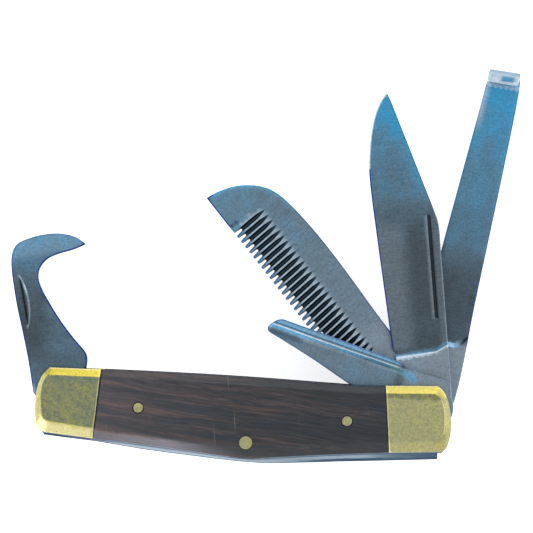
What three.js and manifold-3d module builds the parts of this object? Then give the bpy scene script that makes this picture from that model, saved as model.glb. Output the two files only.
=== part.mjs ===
// A folding hoof pick of the horseman's kind: a slip-joint pocket tool in four layers.
// The hook turns at the left end. A punch, a knife, a comb and a hoof knife turn at the right end.
//
// Frame, in millimetres: +X runs along the handle to the right, +Y to the slot side, where the
// tools come out, and +Z through the thickness. The back scale's outer face is the plane z = 0,
// and the origin is on it, midway along the handle.

import * as THREE from 'three';
import { mergeVertices } from 'three/addons/utils/BufferGeometryUtils.js';
import Module from 'manifold-3d';

const wasm = await Module();
wasm.setup();

// ---------------------------------------------------------------- driving dimensions

const PIVOT_X = 45.4; // both pivots, this far from the middle
const PIVOT_Y = 1.3;
const HOOK_PIVOT = [-PIVOT_X, PIVOT_Y];
const TOOL_PIVOT = [PIVOT_X, PIVOT_Y];
const ROCKER = [0.93, -9.45]; // the pin through the middle of every spring
const SCALE_PINS = { left: [-25.85, -2.17], right: [25.55, -2.93] };

const PIVOT_PIN_R = 1.5;
const ROCKER_PIN_R = 1.6;
const SCALE_PIN_R = 1.2;
const HOLE_CLEARANCE = 0.06;

const COVER_T = 3.14; // scales and bolsters
const COVER_CHAMFER_T = 1.8; // the part of that thickness taken by the chamfer
const LINER_T = 0.56;
const CENTRE_LINER_T = 0.5;
const STACK_GAP = 0.04; // between any two plates of the stack
const RUNNING_GAP = 0.06; // further, on each side of a turning tool
const PIN_SINK = 1.0; // how far each pivot pin ends below the bolster's face

// Angle of each tool, in degrees from the +X axis, folded and as it stands here.
const TOOL_ANGLES = {
  hoof_hook: { folded: 3, open: 102.8 },
  leather_punch: { folded: 188.5, open: 165.6 },
  knife_blade: { folded: 178.5, open: 97.2 },
  mane_comb: { folded: 176.5, open: 131 },
  hoof_knife: { folded: 180, open: 79.5 },
};

// ---------------------------------------------------------------- the stack, from the back face up

const STACK = [
  ['back_cover', COVER_T],
  ['back_liner', LINER_T],
  ['hoof_knife_layer', 2.1],
  ['centre_liner_back', CENTRE_LINER_T],
  ['comb_layer', 2.1],
  ['centre_liner_middle', CENTRE_LINER_T],
  ['knife_layer', 2.3],
  ['centre_liner_front', CENTRE_LINER_T],
  ['hook_and_punch_layer', 3.0],
  ['front_liner', LINER_T],
  ['front_cover', COVER_T],
];

const LEVEL = {};
let height = 0;
for (const [name, thickness] of STACK) {
  LEVEL[name] = { bottom: height, top: height + thickness, thickness };
  height += thickness + STACK_GAP;
}
const TOTAL_T = height - STACK_GAP;

// ---------------------------------------------------------------- materials

const finish = (color, roughness, metalness) => () =>
  new THREE.MeshStandardMaterial({ color, roughness, metalness });

const brass = finish(0xb8a548, 0.42, 1);
const rosewood = finish(0x35292a, 0.5, 0);
const bladeSteel = finish(0x7e8c94, 0.34, 1);
const springSteel = finish(0x6f7a84, 0.4, 1);

// ---------------------------------------------------------------- outlines in the plane

const points = (pairs) => pairs.map(([x, y]) => new THREE.Vector2(x, y));
const spline = (pairs, steps) => new THREE.SplineCurve(points(pairs)).getPoints(steps);

function arc(radius, fromDeg, toDeg, steps) {
  return Array.from({ length: steps + 1 }, (_, i) => {
    const angle = THREE.MathUtils.degToRad(fromDeg + ((toDeg - fromDeg) * i) / steps);
    return new THREE.Vector2(radius * Math.cos(angle), radius * Math.sin(angle));
  });
}

// Joins stretches of points into one closed outline, leaving out repeated points.
function outline(...stretches) {
  const all = stretches.flat();
  return all.filter((p, i) => p.distanceTo(all[(i + all.length - 1) % all.length]) > 1e-4);
}

// ---------------------------------------------------------------- solids

function toSolid(geometry) {
  const bare = geometry.clone();
  bare.deleteAttribute('normal');
  bare.deleteAttribute('uv');
  const merged = mergeVertices(bare, 1e-5);
  return new wasm.Manifold(new wasm.Mesh({
    numProp: 3,
    vertProperties: new Float32Array(merged.attributes.position.array),
    triVerts: new Uint32Array(merged.index.array),
  }));
}

function toGeometry(solid) {
  const mesh = solid.getMesh();
  const geometry = new THREE.BufferGeometry();
  geometry.setAttribute('position', new THREE.BufferAttribute(mesh.vertProperties, 3));
  geometry.setIndex(new THREE.BufferAttribute(mesh.triVerts, 1));
  geometry.computeVertexNormals();
  return geometry;
}

function plate(outlinePoints, bottom, top) {
  const geometry = new THREE.ExtrudeGeometry(new THREE.Shape(outlinePoints), {
    depth: top - bottom,
    bevelEnabled: false,
  });
  return toSolid(geometry.translate(0, 0, bottom));
}

// A bar whose section lies in the Y-Z plane, from x = from to x = to.
function barAlongX(sectionYZ, from, to) {
  const geometry = new THREE.ExtrudeGeometry(new THREE.Shape(points(sectionYZ)), {
    depth: to - from,
    bevelEnabled: false,
  });
  const axes = new THREE.Matrix4().makeBasis(
    new THREE.Vector3(0, 1, 0), new THREE.Vector3(0, 0, 1), new THREE.Vector3(1, 0, 0));
  return toSolid(geometry.applyMatrix4(axes).translate(from, 0, 0));
}

// A bar whose section lies in the X-Z plane, from y = from to y = to.
function barAlongY(sectionXZ, from, to) {
  const geometry = new THREE.ExtrudeGeometry(new THREE.Shape(sectionXZ), {
    depth: to - from,
    bevelEnabled: false,
  });
  const axes = new THREE.Matrix4().makeBasis(
    new THREE.Vector3(1, 0, 0), new THREE.Vector3(0, 0, 1), new THREE.Vector3(0, -1, 0));
  return toSolid(geometry.applyMatrix4(axes).translate(0, to, 0));
}

function cylinder([x, y], radius, bottom, top, sides = 24) {
  const geometry = new THREE.CylinderGeometry(radius, radius, top - bottom, sides);
  return toSolid(geometry.rotateX(Math.PI / 2).translate(x, y, (bottom + top) / 2));
}

const hole = (centre, pinRadius) => cylinder(centre, pinRadius + HOLE_CLEARANCE, -5, TOTAL_T + 5);

function cutAll(solid, cutters) {
  return cutters.reduce((rest, cutter) => rest.subtract(cutter), solid);
}

// ---------------------------------------------------------------- the handle's outline

// Four stretches, clockwise from the top left: slot edge, right end, belly, left end.
const EDGE_STEPS = [14, 12, 20, 12];

const RIM = [
  [[-48.1, 6.7], [-20, 6.8], [0, 6.62], [20, 6.1], [28, 5.95], [34.4, 6.2], [47.5, 6.78]],
  [[47.5, 6.78], [49.2, 5.2], [50.5, 2.2], [51.3, -3], [50.6, -7.9], [49.3, -9.4]],
  [[49.3, -9.4], [36, -10.25], [20, -11.6], [8, -12.8], [2, -13.35], [-6, -12.9], [-18, -11.7],
    [-36.3, -10.35], [-48.6, -9.35]],
  [[-48.6, -9.35], [-50.5, -8.1], [-51.3, -4], [-51.1, 0.8], [-50, 4.4], [-48.1, 6.7]],
];

const FACE_RIM = [
  [[-48.4, 4.68], [-20, 4.72], [0, 4.5], [20, 4.1], [28, 3.95], [34.4, 4.2], [46.8, 4.65]],
  [[46.8, 4.65], [48.2, 3.7], [49.1, 1.2], [49.45, -2.2], [49.2, -4.9], [47.4, -6.5]],
  [[47.4, -6.5], [36.3, -7.4], [20, -8.8], [8, -10], [2, -10.5], [-8, -9.95], [-20, -8.95],
    [-36.3, -7.65], [-48.2, -6.2]],
  [[-48.2, -6.2], [-49.2, -5.6], [-49.65, -3], [-49.8, 0], [-49.4, 2.9], [-48.4, 4.68]],
];

const rimPoints = (rim) => outline(...rim.map((pairs, i) => spline(pairs, EDGE_STEPS[i])));

// The rim moved by a distance along Y at the belly and the slot edge, and along X at the ends.
function movedRim({ slot, belly, ends }) {
  const [slotEdge, rightEnd, bellyEdge, leftEnd] = RIM.map((pairs, i) =>
    spline(pairs, EDGE_STEPS[i]));
  const slotCornerY = 6.8;
  const bellyCornerY = -9.4;
  const atEnd = (p) => {
    const dy = p.y > 0 ? slot * (p.y / slotCornerY) : belly * (p.y / bellyCornerY);
    return new THREE.Vector2(p.x + Math.sign(p.x) * ends, p.y + dy);
  };
  const moved = (p, dx, dy) => new THREE.Vector2(p.x + dx, p.y + dy);
  return outline(
    slotEdge.slice(1, -1).map((p) => moved(p, 0, slot)),
    rightEnd.map(atEnd),
    bellyEdge.slice(1, -1).map((p) => moved(p, 0, belly)),
    leftEnd.map(atEnd),
  );
}

// ---------------------------------------------------------------- scales and bolsters

// Rings of the same number of points, joined into one closed body.
function loft(rings) {
  const count = rings[0].length;
  const positions = rings.flatMap((ring) => ring.flatMap((p) => [p.x, p.y, p.z]));
  const index = [];
  for (let r = 0; r + 1 < rings.length; r++) {
    for (let i = 0; i < count; i++) {
      const next = (i + 1) % count;
      const [a, b] = [r * count + i, r * count + next];
      const [c, d] = [a + count, b + count];
      index.push(a, b, d, a, d, c);
    }
  }
  const lid = (ring) => {
    const flat = ring.map((p) => new THREE.Vector2(p.x, p.y));
    return THREE.ShapeUtils.triangulateShape(flat, []);
  };
  const last = (rings.length - 1) * count;
  lid(rings[0]).forEach(([a, b, c]) => index.push(a, c, b));
  lid(rings.at(-1)).forEach(([a, b, c]) => index.push(last + a, last + b, last + c));
  const geometry = new THREE.BufferGeometry();
  geometry.setAttribute('position', new THREE.Float32BufferAttribute(positions, 3));
  geometry.setIndex(index);
  return toSolid(geometry);
}

// One side's whole cover: a straight wall next to the liner, then the chamfer up to the flat face.
function coverSlab(side) {
  const { bottom, top } = LEVEL[`${side}_cover`];
  const atHeight = (rim, z) => rim.map((p) => new THREE.Vector3(p.x, p.y, z)).reverse();
  const outer = rimPoints(RIM);
  const face = rimPoints(FACE_RIM);
  return side === 'front'
    ? loft([
      atHeight(outer, bottom), atHeight(outer, top - COVER_CHAMFER_T), atHeight(face, top),
    ])
    : loft([
      atHeight(face, bottom), atHeight(outer, bottom + COVER_CHAMFER_T), atHeight(outer, top),
    ]);
}

// The joints between wood and brass lean a little, as lines through these two points.
const LEFT_JOINT = { slotX: -35.4, bellyX: -36.62 };
const RIGHT_JOINT = { slotX: 34.48, bellyX: 36.18 };
const JOINT_GAP = 0.12;
const JOINT_SLOT_Y = 7;
const JOINT_BELLY_Y = -10;

function jointX({ slotX, bellyX }, y) {
  return slotX + ((bellyX - slotX) * (JOINT_SLOT_Y - y)) / (JOINT_SLOT_Y - JOINT_BELLY_Y);
}

// The part of the plan between two upright planes that follow the joints.
function between(leftJoint, leftShift, rightJoint, rightShift) {
  const x = (joint, shift, y) => (typeof joint === 'number' ? joint : jointX(joint, y)) + shift;
  const [high, low] = [20, -25]; // well beyond the slot edge and the belly
  return plate(points([
    [x(leftJoint, leftShift, high), high], [x(rightJoint, rightShift, high), high],
    [x(rightJoint, rightShift, low), low], [x(leftJoint, leftShift, low), low],
  ]), -1, TOTAL_T + 1);
}

const FAR_X = 60; // beyond both ends
const coverPieces = {
  left_bolster: between(-FAR_X, 0, LEFT_JOINT, -JOINT_GAP / 2),
  scale: between(LEFT_JOINT, JOINT_GAP / 2, RIGHT_JOINT, -JOINT_GAP / 2),
  right_bolster: between(RIGHT_JOINT, JOINT_GAP / 2, FAR_X, 0),
};

// Each pivot pin stands in a blind hole, so the bolster's face stays whole.
function blindHole(side, centre) {
  const { bottom, top } = LEVEL[`${side}_cover`];
  const depthLeft = PIN_SINK - 0.1;
  return side === 'front'
    ? cylinder(centre, PIVOT_PIN_R + HOLE_CLEARANCE, bottom - 1, top - depthLeft)
    : cylinder(centre, PIVOT_PIN_R + HOLE_CLEARANCE, bottom + depthLeft, top + 1);
}

function coverPiece(side, piece) {
  const whole = coverSlab(side).intersect(coverPieces[piece]);
  const holes = {
    left_bolster: () => [blindHole(side, HOOK_PIVOT)],
    right_bolster: () => [blindHole(side, TOOL_PIVOT)],
    scale: () => [
      hole(ROCKER, ROCKER_PIN_R),
      hole(SCALE_PINS.left, SCALE_PIN_R),
      hole(SCALE_PINS.right, SCALE_PIN_R),
    ],
  };
  return cutAll(whole, holes[piece]());
}

// ---------------------------------------------------------------- liners

const throughHoles = () => [
  hole(HOOK_PIVOT, PIVOT_PIN_R), hole(TOOL_PIVOT, PIVOT_PIN_R), hole(ROCKER, ROCKER_PIN_R),
];

// The outer liners show as a fine line below the belly.
function outerLiner(name) {
  const { bottom, top } = LEVEL[name];
  const blank = plate(movedRim({ slot: -0.2, belly: -0.38, ends: -0.15 }), bottom, top);
  const scalePinHoles = Object.values(SCALE_PINS).map((centre) => hole(centre, SCALE_PIN_R));
  return cutAll(blank, [...throughHoles(), ...scalePinHoles]);
}

// The liner in front of the hoof knife has a window, open to the slot, for that tool's curled tip.
const CURL_WINDOW = [
  [-41.4, 12], [-41.4, -3.2], [-40.7, -3.9], [-35, -3.9], [-34.2, -3.2], [-34.2, 12],
];

function centreLiner(name) {
  const { bottom, top } = LEVEL[name];
  const blank = plate(movedRim({ slot: -0.7, belly: -0.3, ends: -0.4 }), bottom, top);
  const cutters = throughHoles();
  if (name === 'centre_liner_back') {
    cutters.push(plate(points(CURL_WINDOW), bottom - 1, top + 1));
  }
  return cutAll(blank, cutters);
}

// ---------------------------------------------------------------- back springs

// The outer edge of every spring. It stands proud of the belly, most at the right end, where the
// half-open tools lift it, and it ends square.
const SPRING_END_X = 48.35;
const SPRING_BELLY = [
  [SPRING_END_X, -11.35], [42, -11.83], [36, -12.27], [24, -13.1], [18, -13.6], [12, -14.05],
  [6, -14.45], [0, -14.3], [-6, -13.93], [-18, -13], [-24, -12.48], [-36, -11.05], [-44, -10.45],
  [-48.9, -10.05],
];

// The head that fills the left end of a layer with no tool there, and holds the hook's pivot pin.
const SPRING_HEAD = [
  [-49.9, -7.9], [-50.7, -3.5], [-50.45, 1], [-49.3, 4.6], [-47.8, 6.1], [-42.6, 6.1], [-41.7, 5.2],
  [-41.7, -5.6],
];

// The inner edge of each spring, from left to right, below its own folded tools.
const SPRING_SEATS = {
  hook_and_punch_layer: [
    [-49.9, -7.9], [-50.3, -5.5], [-42.6, -5.5], [-40.8, -6.75], [-36.4, -6.95], [-30, -8.6],
    [-18, -9.7], [-7, -9.7], [-4, -8.6], [-2.2, -7.2], [3.6, -7.2], [6, -8.4], [22, -8.4],
    [36, -7.0], [SPRING_END_X, -6.95],
  ],
  knife_layer: [
    [-40, -7.2], [-30, -7.6], [-14, -7.7], [-3, -7.2], [4, -7.2], [24, -7.2], [34.4, -6.2],
    [37, -5.85], [SPRING_END_X, -5.85],
  ],
  comb_layer: [
    [-40, -7.2], [-30, -7.6], [-14, -7.6], [-3, -7.2], [4, -7.2], [10, -8.2], [27, -9.1], [31, -8.7],
    [34.6, -6.2], [37, -5.85], [SPRING_END_X, -5.85],
  ],
  hoof_knife_layer: [
    [-40, -7.0], [-30, -7.4], [-3, -7.2], [4, -7.2], [28, -7.2], [37, -5.85], [SPRING_END_X, -5.85],
  ],
};

function backSpring(layer) {
  const { bottom, top } = LEVEL[layer];
  const head = layer === 'hook_and_punch_layer' ? [] : points(SPRING_HEAD);
  const blank = plate(outline(points(SPRING_BELLY), head, points(SPRING_SEATS[layer])), bottom, top);
  const headHole = head.length ? [hole(HOOK_PIVOT, PIVOT_PIN_R)] : [];
  return cutAll(blank, [hole(ROCKER, ROCKER_PIN_R), ...headHole]);
}

// ---------------------------------------------------------------- pins

const pivotPin = (centre) => cylinder(centre, PIVOT_PIN_R, PIN_SINK, TOTAL_T - PIN_SINK);
const rockerPin = () => cylinder(ROCKER, ROCKER_PIN_R, 0, TOTAL_T);

function scalePin(side, centre) {
  const [bottom, top] = side === 'front'
    ? [LEVEL.front_liner.bottom, LEVEL.front_cover.top]
    : [LEVEL.back_cover.bottom, LEVEL.back_liner.top];
  return cylinder(centre, SCALE_PIN_R, bottom, top);
}

// ---------------------------------------------------------------- the tools
//
// Each tool is drawn folded, with its pivot at the origin and its back towards +Y. The hook points
// along +X then and the others along -X, so u below is the distance from the pivot along the tool.

const TANG_R = 6.3;

const mirrored = (outlinePoints) => outlinePoints.map((p) => new THREE.Vector2(-p.x, p.y));

// A plate drawn in (u, v), for a tool that points along -X.
const mirroredPlate = (pairs, bottom, top) => plate(mirrored(points(pairs)), bottom, top);

function toolThickness(layer) {
  return LEVEL[layer].thickness - 2 * RUNNING_GAP;
}

const pivotHole = () => cylinder([0, 0], PIVOT_PIN_R + HOLE_CLEARANCE, -5, 10);

// A long shallow cut with pointed ends for a fingernail, in the tool's front face.
function nailNick(centreU, centreV, length, width, tiltDeg, depth, faceZ, hand) {
  const boat = spline([[-length / 2, 0], [0, width / 2], [length / 2, 0]], 10)
    .concat(spline([[length / 2, 0], [0, -width / 2], [-length / 2, 0]], 10).slice(1, -1));
  const turn = THREE.MathUtils.degToRad(tiltDeg);
  const placed = boat.map((p) => {
    const q = p.clone().rotateAround(new THREE.Vector2(), turn);
    return new THREE.Vector2(hand * (q.x + centreU), q.y + centreV);
  });
  return plate(placed, faceZ - depth, faceZ + 1);
}

function hoofHook() {
  const t = toolThickness('hook_and_punch_layer');
  const body = plate(outline(
    spline([[0.5, 6.75], [5, 6.62], [10, 6.6], [16, 6.78], [22, 7.02], [28, 6.96], [31.5, 6.76],
      [33.9, 6.35], [35.8, 5.6], [37.3, 4.2], [38.1, 1.3], [38.4, -2], [38.15, -5.6], [37.3, -8.5],
      [36.2, -10.5], [34.4, -12.3]], 42),
    spline([[34.15, -12.2], [33.42, -9], [33.05, -5.5], [32.5, -3], [31.75, -1.6], [30.9, -0.65],
      [29.8, 0.15], [28.2, 0.6], [26.3, 0.48], [24, -0.12]], 30),
    spline([[24, -0.12], [20, -1.6], [16, -3.3], [12, -5.34], [9.6, -6.78]], 8),
    spline([[9.6, -6.78], [8.3, -7.5], [7.1, -7.86], [5.6, -7.7], [4, -7.15]], 8),
    arc(TANG_R, -62, -265, 22),
  ), 0, t);
  return cutAll(body, [pivotHole(), nailNick(23, 4.45, 14, 1.45, 0.5, 0.7, t, 1)]);
}

// The web below the punch's thick spine is hollowed from the front, and thinned from the back.
const PUNCH_WEB = {
  rootU: 8.5,
  rampEndU: 11.1,
  tipU: 46,
  rootV: 6.2,
  tipV: 8,
  beyondV: -9,
  frontShare: 0.62, // of the thickness, left under the front hollow
  backShare: 0.2, // of the thickness, taken off the back
};

function leatherPunch() {
  const t = toolThickness('hook_and_punch_layer');
  const body = plate(mirrored(outline(
    points([[-1.4, 7.65], [7.0, 7.65]]),
    spline([[7.0, 7.65], [8.4, 8.05], [9.6, 8.6], [11.4, 8.85]], 6),
    points([[23.5, 9.5], [39.2, 10.22]]),
    spline([[39.2, 10.22], [40.6, 10.25], [41.7, 9.8], [42.4, 9.2], [43.3, 8.1], [43.65, 7.3],
      [43.3, 6.45], [42.4, 6.05], [41.1, 5.74]], 16),
    points([[35, 4.17], [30, 2.8], [20.1, -0.3], [9, -3.5], [7.4, -4.3]]),
    arc(TANG_R, -45, -222, 20),
    spline([[-4.7, 4.3], [-4.1, 6.0], [-3.35, 7.1], [-2.4, 7.6], [-1.4, 7.65]], 7),
  )), 0, t);
  const { rootU, rampEndU, tipU, rootV, tipV, beyondV, frontShare, backShare } = PUNCH_WEB;
  const webFront = mirroredPlate([
    [rootU, rootV - 1.2], [rampEndU, rootV], [tipU, tipV], [tipU, beyondV], [rootU, beyondV],
  ], t * frontShare, t + 1);
  const webBack = mirroredPlate([
    [rootU, rootV - 2.2], [rampEndU, rootV - 1], [tipU, tipV - 1], [tipU, beyondV],
    [rootU, beyondV],
  ], -1, t * backShare);
  const groove = mirroredPlate([[12, 7.75], [40, 8.9], [40, 9.2], [12, 8.05]], t - 0.25, t + 1);
  return cutAll(body, [pivotHole(), webFront, webBack, groove]);
}

// One side's grind: a long wedge of air over the face, from the back of the grind down to the edge.
function grind(t, { fromU, toU, backV, edgeV, edgeT }) {
  const cut = (t - edgeT) / 2;
  const slope = cut / (backV - edgeV);
  const beyond = 6;
  const deep = cut + slope * beyond;
  const front = [[backV, t], [edgeV - beyond, t - deep], [edgeV - beyond, t + 3], [backV, t + 3]];
  const back = [[backV, 0], [edgeV - beyond, deep], [edgeV - beyond, -3], [backV, -3]];
  return [barAlongX(front, -toU, -fromU), barAlongX(back, -toU, -fromU)];
}

function knifeBlade() {
  const t = toolThickness('knife_layer');
  const body = plate(mirrored(outline(
    points([[0, TANG_R], [38, 6.4]]),
    spline([[38, 6.4], [43, 6.45], [45.6, 6.28], [47.8, 5.72], [50.5, 4.92]], 8),
    points([[76.5, -3.05]]),
    spline([[78.6, -3.9], [77.6, -4.9], [76, -6], [73.8, -7.1], [70.9, -8.1], [66.6, -9.05],
      [61.5, -9.7], [57.2, -9.85], [52, -9.68]], 18),
    spline([[52, -9.68], [39.1, -8.93], [24, -8], [15.2, -7.45]], 6),
    spline([[15.2, -7.45], [14.4, -7.1], [13.8, -6.7], [13.0, -7.0], [12.0, -7.0]], 5),
    points([[8.0, -6.8], [6.0, -5.4]]),
    arc(TANG_R, -48, -270, 24),
  )), 0, t);
  const grinds = grind(t, { fromU: 14.3, toU: 90, backV: 5.3, edgeV: -9.85, edgeT: 0.35 });
  const nick = mirroredPlate([[22.2, 3.75], [48.1, 3.75], [48.1, 4.4], [22.2, 4.4]],
    t - 0.75, t + 1);
  return cutAll(body, [pivotHole(), ...grinds, nick]);
}

const COMB = {
  toothLineV: -10.95,
  pitch: 1.62,
  grooves: 28,
  innerV: -1.3, // where a groove runs out on the face
  firstInnerU: 63.45, // and where the outermost one does so
  leanDeg: { first: 2.2, last: 5 }, // each groove leans so much towards the tip on its way in
  width: 1.24, // at the edge, on the front face
  backWidth: 0.5, // at the edge, on the back face
  through: 2.15, // length of the stretch that goes right through
  thickness: 1.7,
};

// One tooth gap: a tapering trough, nothing at its inner end and right through at the edge.
function toothGap(index, frontZ) {
  const { toothLineV, innerV, width, backWidth, through, thickness } = COMB;
  const beyond = 1;
  const length = innerV - toothLineV;
  const depthPerMm = thickness / (length - through);
  const innerU = COMB.firstInnerU - index * COMB.pitch;
  const leanDeg = THREE.MathUtils.mapLinear(
    index, 0, COMB.grooves - 1, COMB.leanDeg.first, COMB.leanDeg.last);
  const lean = Math.tan(THREE.MathUtils.degToRad(leanDeg));
  const [topHalf, bottomHalf] = [width / 2, backWidth / 2];
  const section = (v, halfTop, halfBottom, depth) => {
    const u = innerU + (v - innerV) * lean;
    const [low, high] = [frontZ - depth, frontZ + 0.4];
    return [[u - halfTop, high], [u + halfTop, high], [u + halfBottom, low], [u - halfBottom, low]]
      .map(([x, z]) => new THREE.Vector3(-x, v, z));
  };
  const shoulder = 2.7; // a gap is as wide as it gets this far from its inner end
  const outer = toothLineV - beyond;
  return loftAlongY([
    section(outer, topHalf, bottomHalf, (length + beyond) * depthPerMm),
    section(innerV - shoulder, topHalf * 0.95, bottomHalf * 0.5, shoulder * depthPerMm),
    section(innerV, 0.06, 0.02, 0.01),
  ]);
}

// Four-cornered rings joined along Y into one closed body.
function loftAlongY(rings) {
  const index = [];
  const count = 4;
  for (let r = 0; r + 1 < rings.length; r++) {
    for (let i = 0; i < count; i++) {
      const next = (i + 1) % count;
      const [a, b] = [r * count + i, r * count + next];
      const [c, d] = [a + count, b + count];
      index.push(a, d, b, a, c, d);
    }
  }
  const last = (rings.length - 1) * count;
  index.push(0, 1, 2, 0, 2, 3, last, last + 2, last + 1, last, last + 3, last + 2);
  const geometry = new THREE.BufferGeometry();
  geometry.setAttribute('position', new THREE.Float32BufferAttribute(
    rings.flat().flatMap((p) => [p.x, p.y, p.z]), 3));
  geometry.setIndex(index);
  return toSolid(geometry);
}

function maneComb() {
  const t = toolThickness('comb_layer');
  const { toothLineV, grooves, thickness } = COMB;
  const body = plate(mirrored(outline(
    points([[0, TANG_R]]),
    spline([[4, 5.9], [12, 4.75], [24, 4.6], [37, 5.1], [45, 5.28], [52.5, 5.17], [59.5, 4.68]], 10),
    spline([[59.5, 4.68], [63.2, 4.1], [66.4, 3.02], [69.1, 1.15], [71.5, -1.55], [73.15, -4.5],
      [74.25, -7.9], [74.7, toothLineV + 0.1]], 16),
    points([[74.5, toothLineV], [17.4, toothLineV]]),
    spline([[17.4, toothLineV], [16.6, -9.8], [15, -8.3], [12, -6.9]], 5),
    points([[8.0, -6.6], [6.0, -5.3]]),
    arc(TANG_R, -48, -270, 24),
  )), 0, t);
  // The blade is thinner than the tang, with a short ramp between the two.
  const [rampU, bladeU, beyondU] = [14.5, 16, 90];
  const thinning = barAlongY(points([[-rampU, t], [-bladeU, thickness], [-beyondU, thickness],
    [-beyondU, t + 1], [-rampU, t + 1]]), -20, 20);
  const gaps = Array.from({ length: grooves }, (_, i) => toothGap(i, thickness));
  return cutAll(body, [pivotHole(), thinning, ...gaps]);
}

const CURL = { centreU: 84.1, outerR: 2, thickness: 0.85, endDeg: 140, skewDeg: 4.5, bladeT: 1.1 };

function hoofKnife() {
  const t = toolThickness('hoof_knife_layer');
  const { centreU, outerR, thickness, endDeg, skewDeg, bladeT } = CURL;
  const profile = plate(mirrored(outline(
    points([[0.8, 6.25]]),
    spline([[3, 6.6], [8, 6.75], [16, 6.55], [27, 6.13], [40, 5.83], [55, 5.53], [70, 5.15],
      [80, 4.8], [84.6, 4.4]], 16),
    points([[87, 3.95], [87, -3.85]]),
    spline([[84.4, -3.85], [78, -3.96], [70, -4.22], [58, -4.63], [43, -5.12], [30, -5.45],
      [14, -5.75], [6, -5.3]], 12),
    arc(TANG_R, -60, -262, 22),
  )), -1, 8);
  const [rampU, bladeU, beyondV] = [15.9, 17, 9];
  const blade = barAlongY(points([[10, 0], [10, t], [-rampU, t], [-bladeU, bladeT],
    [-centreU, bladeT], [-centreU, 0]]), -beyondV, beyondV);
  const ring = outline(
    arc(outerR, -90, endDeg, 14),
    arc(outerR - thickness, endDeg, -90, 12),
  ).map((p) => new THREE.Vector2(-p.x, p.y + outerR));
  // A wafer of overlap makes the blade and the curl one body.
  const overlap = 0.6;
  const seam = barAlongY(points([[overlap, 0], [-0.05, 0], [-0.05, thickness * 0.9],
    [overlap, thickness * 0.9]]), -beyondV, beyondV);
  const curl = barAlongY(ring, -beyondV, beyondV).add(seam)
    .rotate([0, 0, skewDeg]).translate([-centreU, 0, 0]);
  return cutAll(blade.add(curl).intersect(profile), [pivotHole()]);
}

// ---------------------------------------------------------------- assembly

const assembly = new THREE.Group();

function addMesh(parent, name, solid, material) {
  const mesh = new THREE.Mesh(toGeometry(solid), material());
  mesh.name = name;
  parent.add(mesh);
}

for (const side of ['front', 'back']) {
  addMesh(assembly, `${side}_scale`, coverPiece(side, 'scale'), rosewood);
  addMesh(assembly, `${side}_left_bolster`, coverPiece(side, 'left_bolster'), brass);
  addMesh(assembly, `${side}_right_bolster`, coverPiece(side, 'right_bolster'), brass);
  addMesh(assembly, `${side}_liner`, outerLiner(`${side}_liner`), springSteel);
  for (const [end, centre] of Object.entries(SCALE_PINS)) {
    addMesh(assembly, `${side}_${end}_scale_pin`, scalePin(side, centre), brass);
  }
}

for (const name of ['centre_liner_back', 'centre_liner_middle', 'centre_liner_front']) {
  addMesh(assembly, name, centreLiner(name), springSteel);
}

const SPRING_NAMES = {
  hook_and_punch_spring: 'hook_and_punch_layer',
  knife_spring: 'knife_layer',
  comb_spring: 'comb_layer',
  hoof_knife_spring: 'hoof_knife_layer',
};
for (const [name, layer] of Object.entries(SPRING_NAMES)) {
  addMesh(assembly, name, backSpring(layer), springSteel);
}

addMesh(assembly, 'hook_pivot_pin', pivotPin(HOOK_PIVOT), springSteel);
addMesh(assembly, 'tool_pivot_pin', pivotPin(TOOL_PIVOT), springSteel);
addMesh(assembly, 'rocker_pin', rockerPin(), brass);

// Every tool stands in its own group at its pivot, turned from its folded drawing to its angle.
const FOLDED_AXIS = { left: 0, right: 180 };
const TOOLS = [
  ['hoof_hook', hoofHook, 'hook_and_punch_layer', HOOK_PIVOT, 'left'],
  ['leather_punch', leatherPunch, 'hook_and_punch_layer', TOOL_PIVOT, 'right'],
  ['knife_blade', knifeBlade, 'knife_layer', TOOL_PIVOT, 'right'],
  ['mane_comb', maneComb, 'comb_layer', TOOL_PIVOT, 'right'],
  ['hoof_knife', hoofKnife, 'hoof_knife_layer', TOOL_PIVOT, 'right'],
];
for (const [name, make, layer, [x, y], end] of TOOLS) {
  const turned = new THREE.Group();
  turned.position.set(x, y, LEVEL[layer].bottom + RUNNING_GAP);
  turned.rotation.z = THREE.MathUtils.degToRad(TOOL_ANGLES[name].open - FOLDED_AXIS[end]);
  addMesh(turned, name, make(), bladeSteel);
  assembly.add(turned);
}

export default assembly;
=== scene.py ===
"""Looks for a folding hoof pick: brass bolsters, rosewood scales and five brushed steel tools.

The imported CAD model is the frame. Outlines and stations below are in millimetres, in the CAD's own
frame: +X along the handle, +Y to the slot side, +Z from the back face to the front face. A tool's
outline is in (u, v): u runs from its pivot to its tip, and v towards its back.
"""

import math

import bmesh
import bpy
import numpy as np
from mathutils import Matrix, Vector
from mathutils.geometry import delaunay_2d_cdt


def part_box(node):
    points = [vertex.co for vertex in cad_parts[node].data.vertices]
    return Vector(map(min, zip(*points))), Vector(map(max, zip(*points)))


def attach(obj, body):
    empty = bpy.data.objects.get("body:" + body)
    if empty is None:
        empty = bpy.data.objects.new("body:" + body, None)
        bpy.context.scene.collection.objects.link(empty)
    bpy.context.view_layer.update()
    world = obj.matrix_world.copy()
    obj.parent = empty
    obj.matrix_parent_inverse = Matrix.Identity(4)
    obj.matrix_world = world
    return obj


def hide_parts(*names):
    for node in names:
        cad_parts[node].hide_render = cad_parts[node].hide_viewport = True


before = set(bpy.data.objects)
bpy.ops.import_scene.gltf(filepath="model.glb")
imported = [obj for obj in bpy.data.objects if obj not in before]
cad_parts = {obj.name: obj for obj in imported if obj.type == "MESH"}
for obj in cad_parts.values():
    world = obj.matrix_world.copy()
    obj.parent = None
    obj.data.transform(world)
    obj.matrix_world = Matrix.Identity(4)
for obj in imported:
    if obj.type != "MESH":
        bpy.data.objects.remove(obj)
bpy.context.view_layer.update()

MM = 0.001

# ---- sizes shared with the CAD

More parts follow.
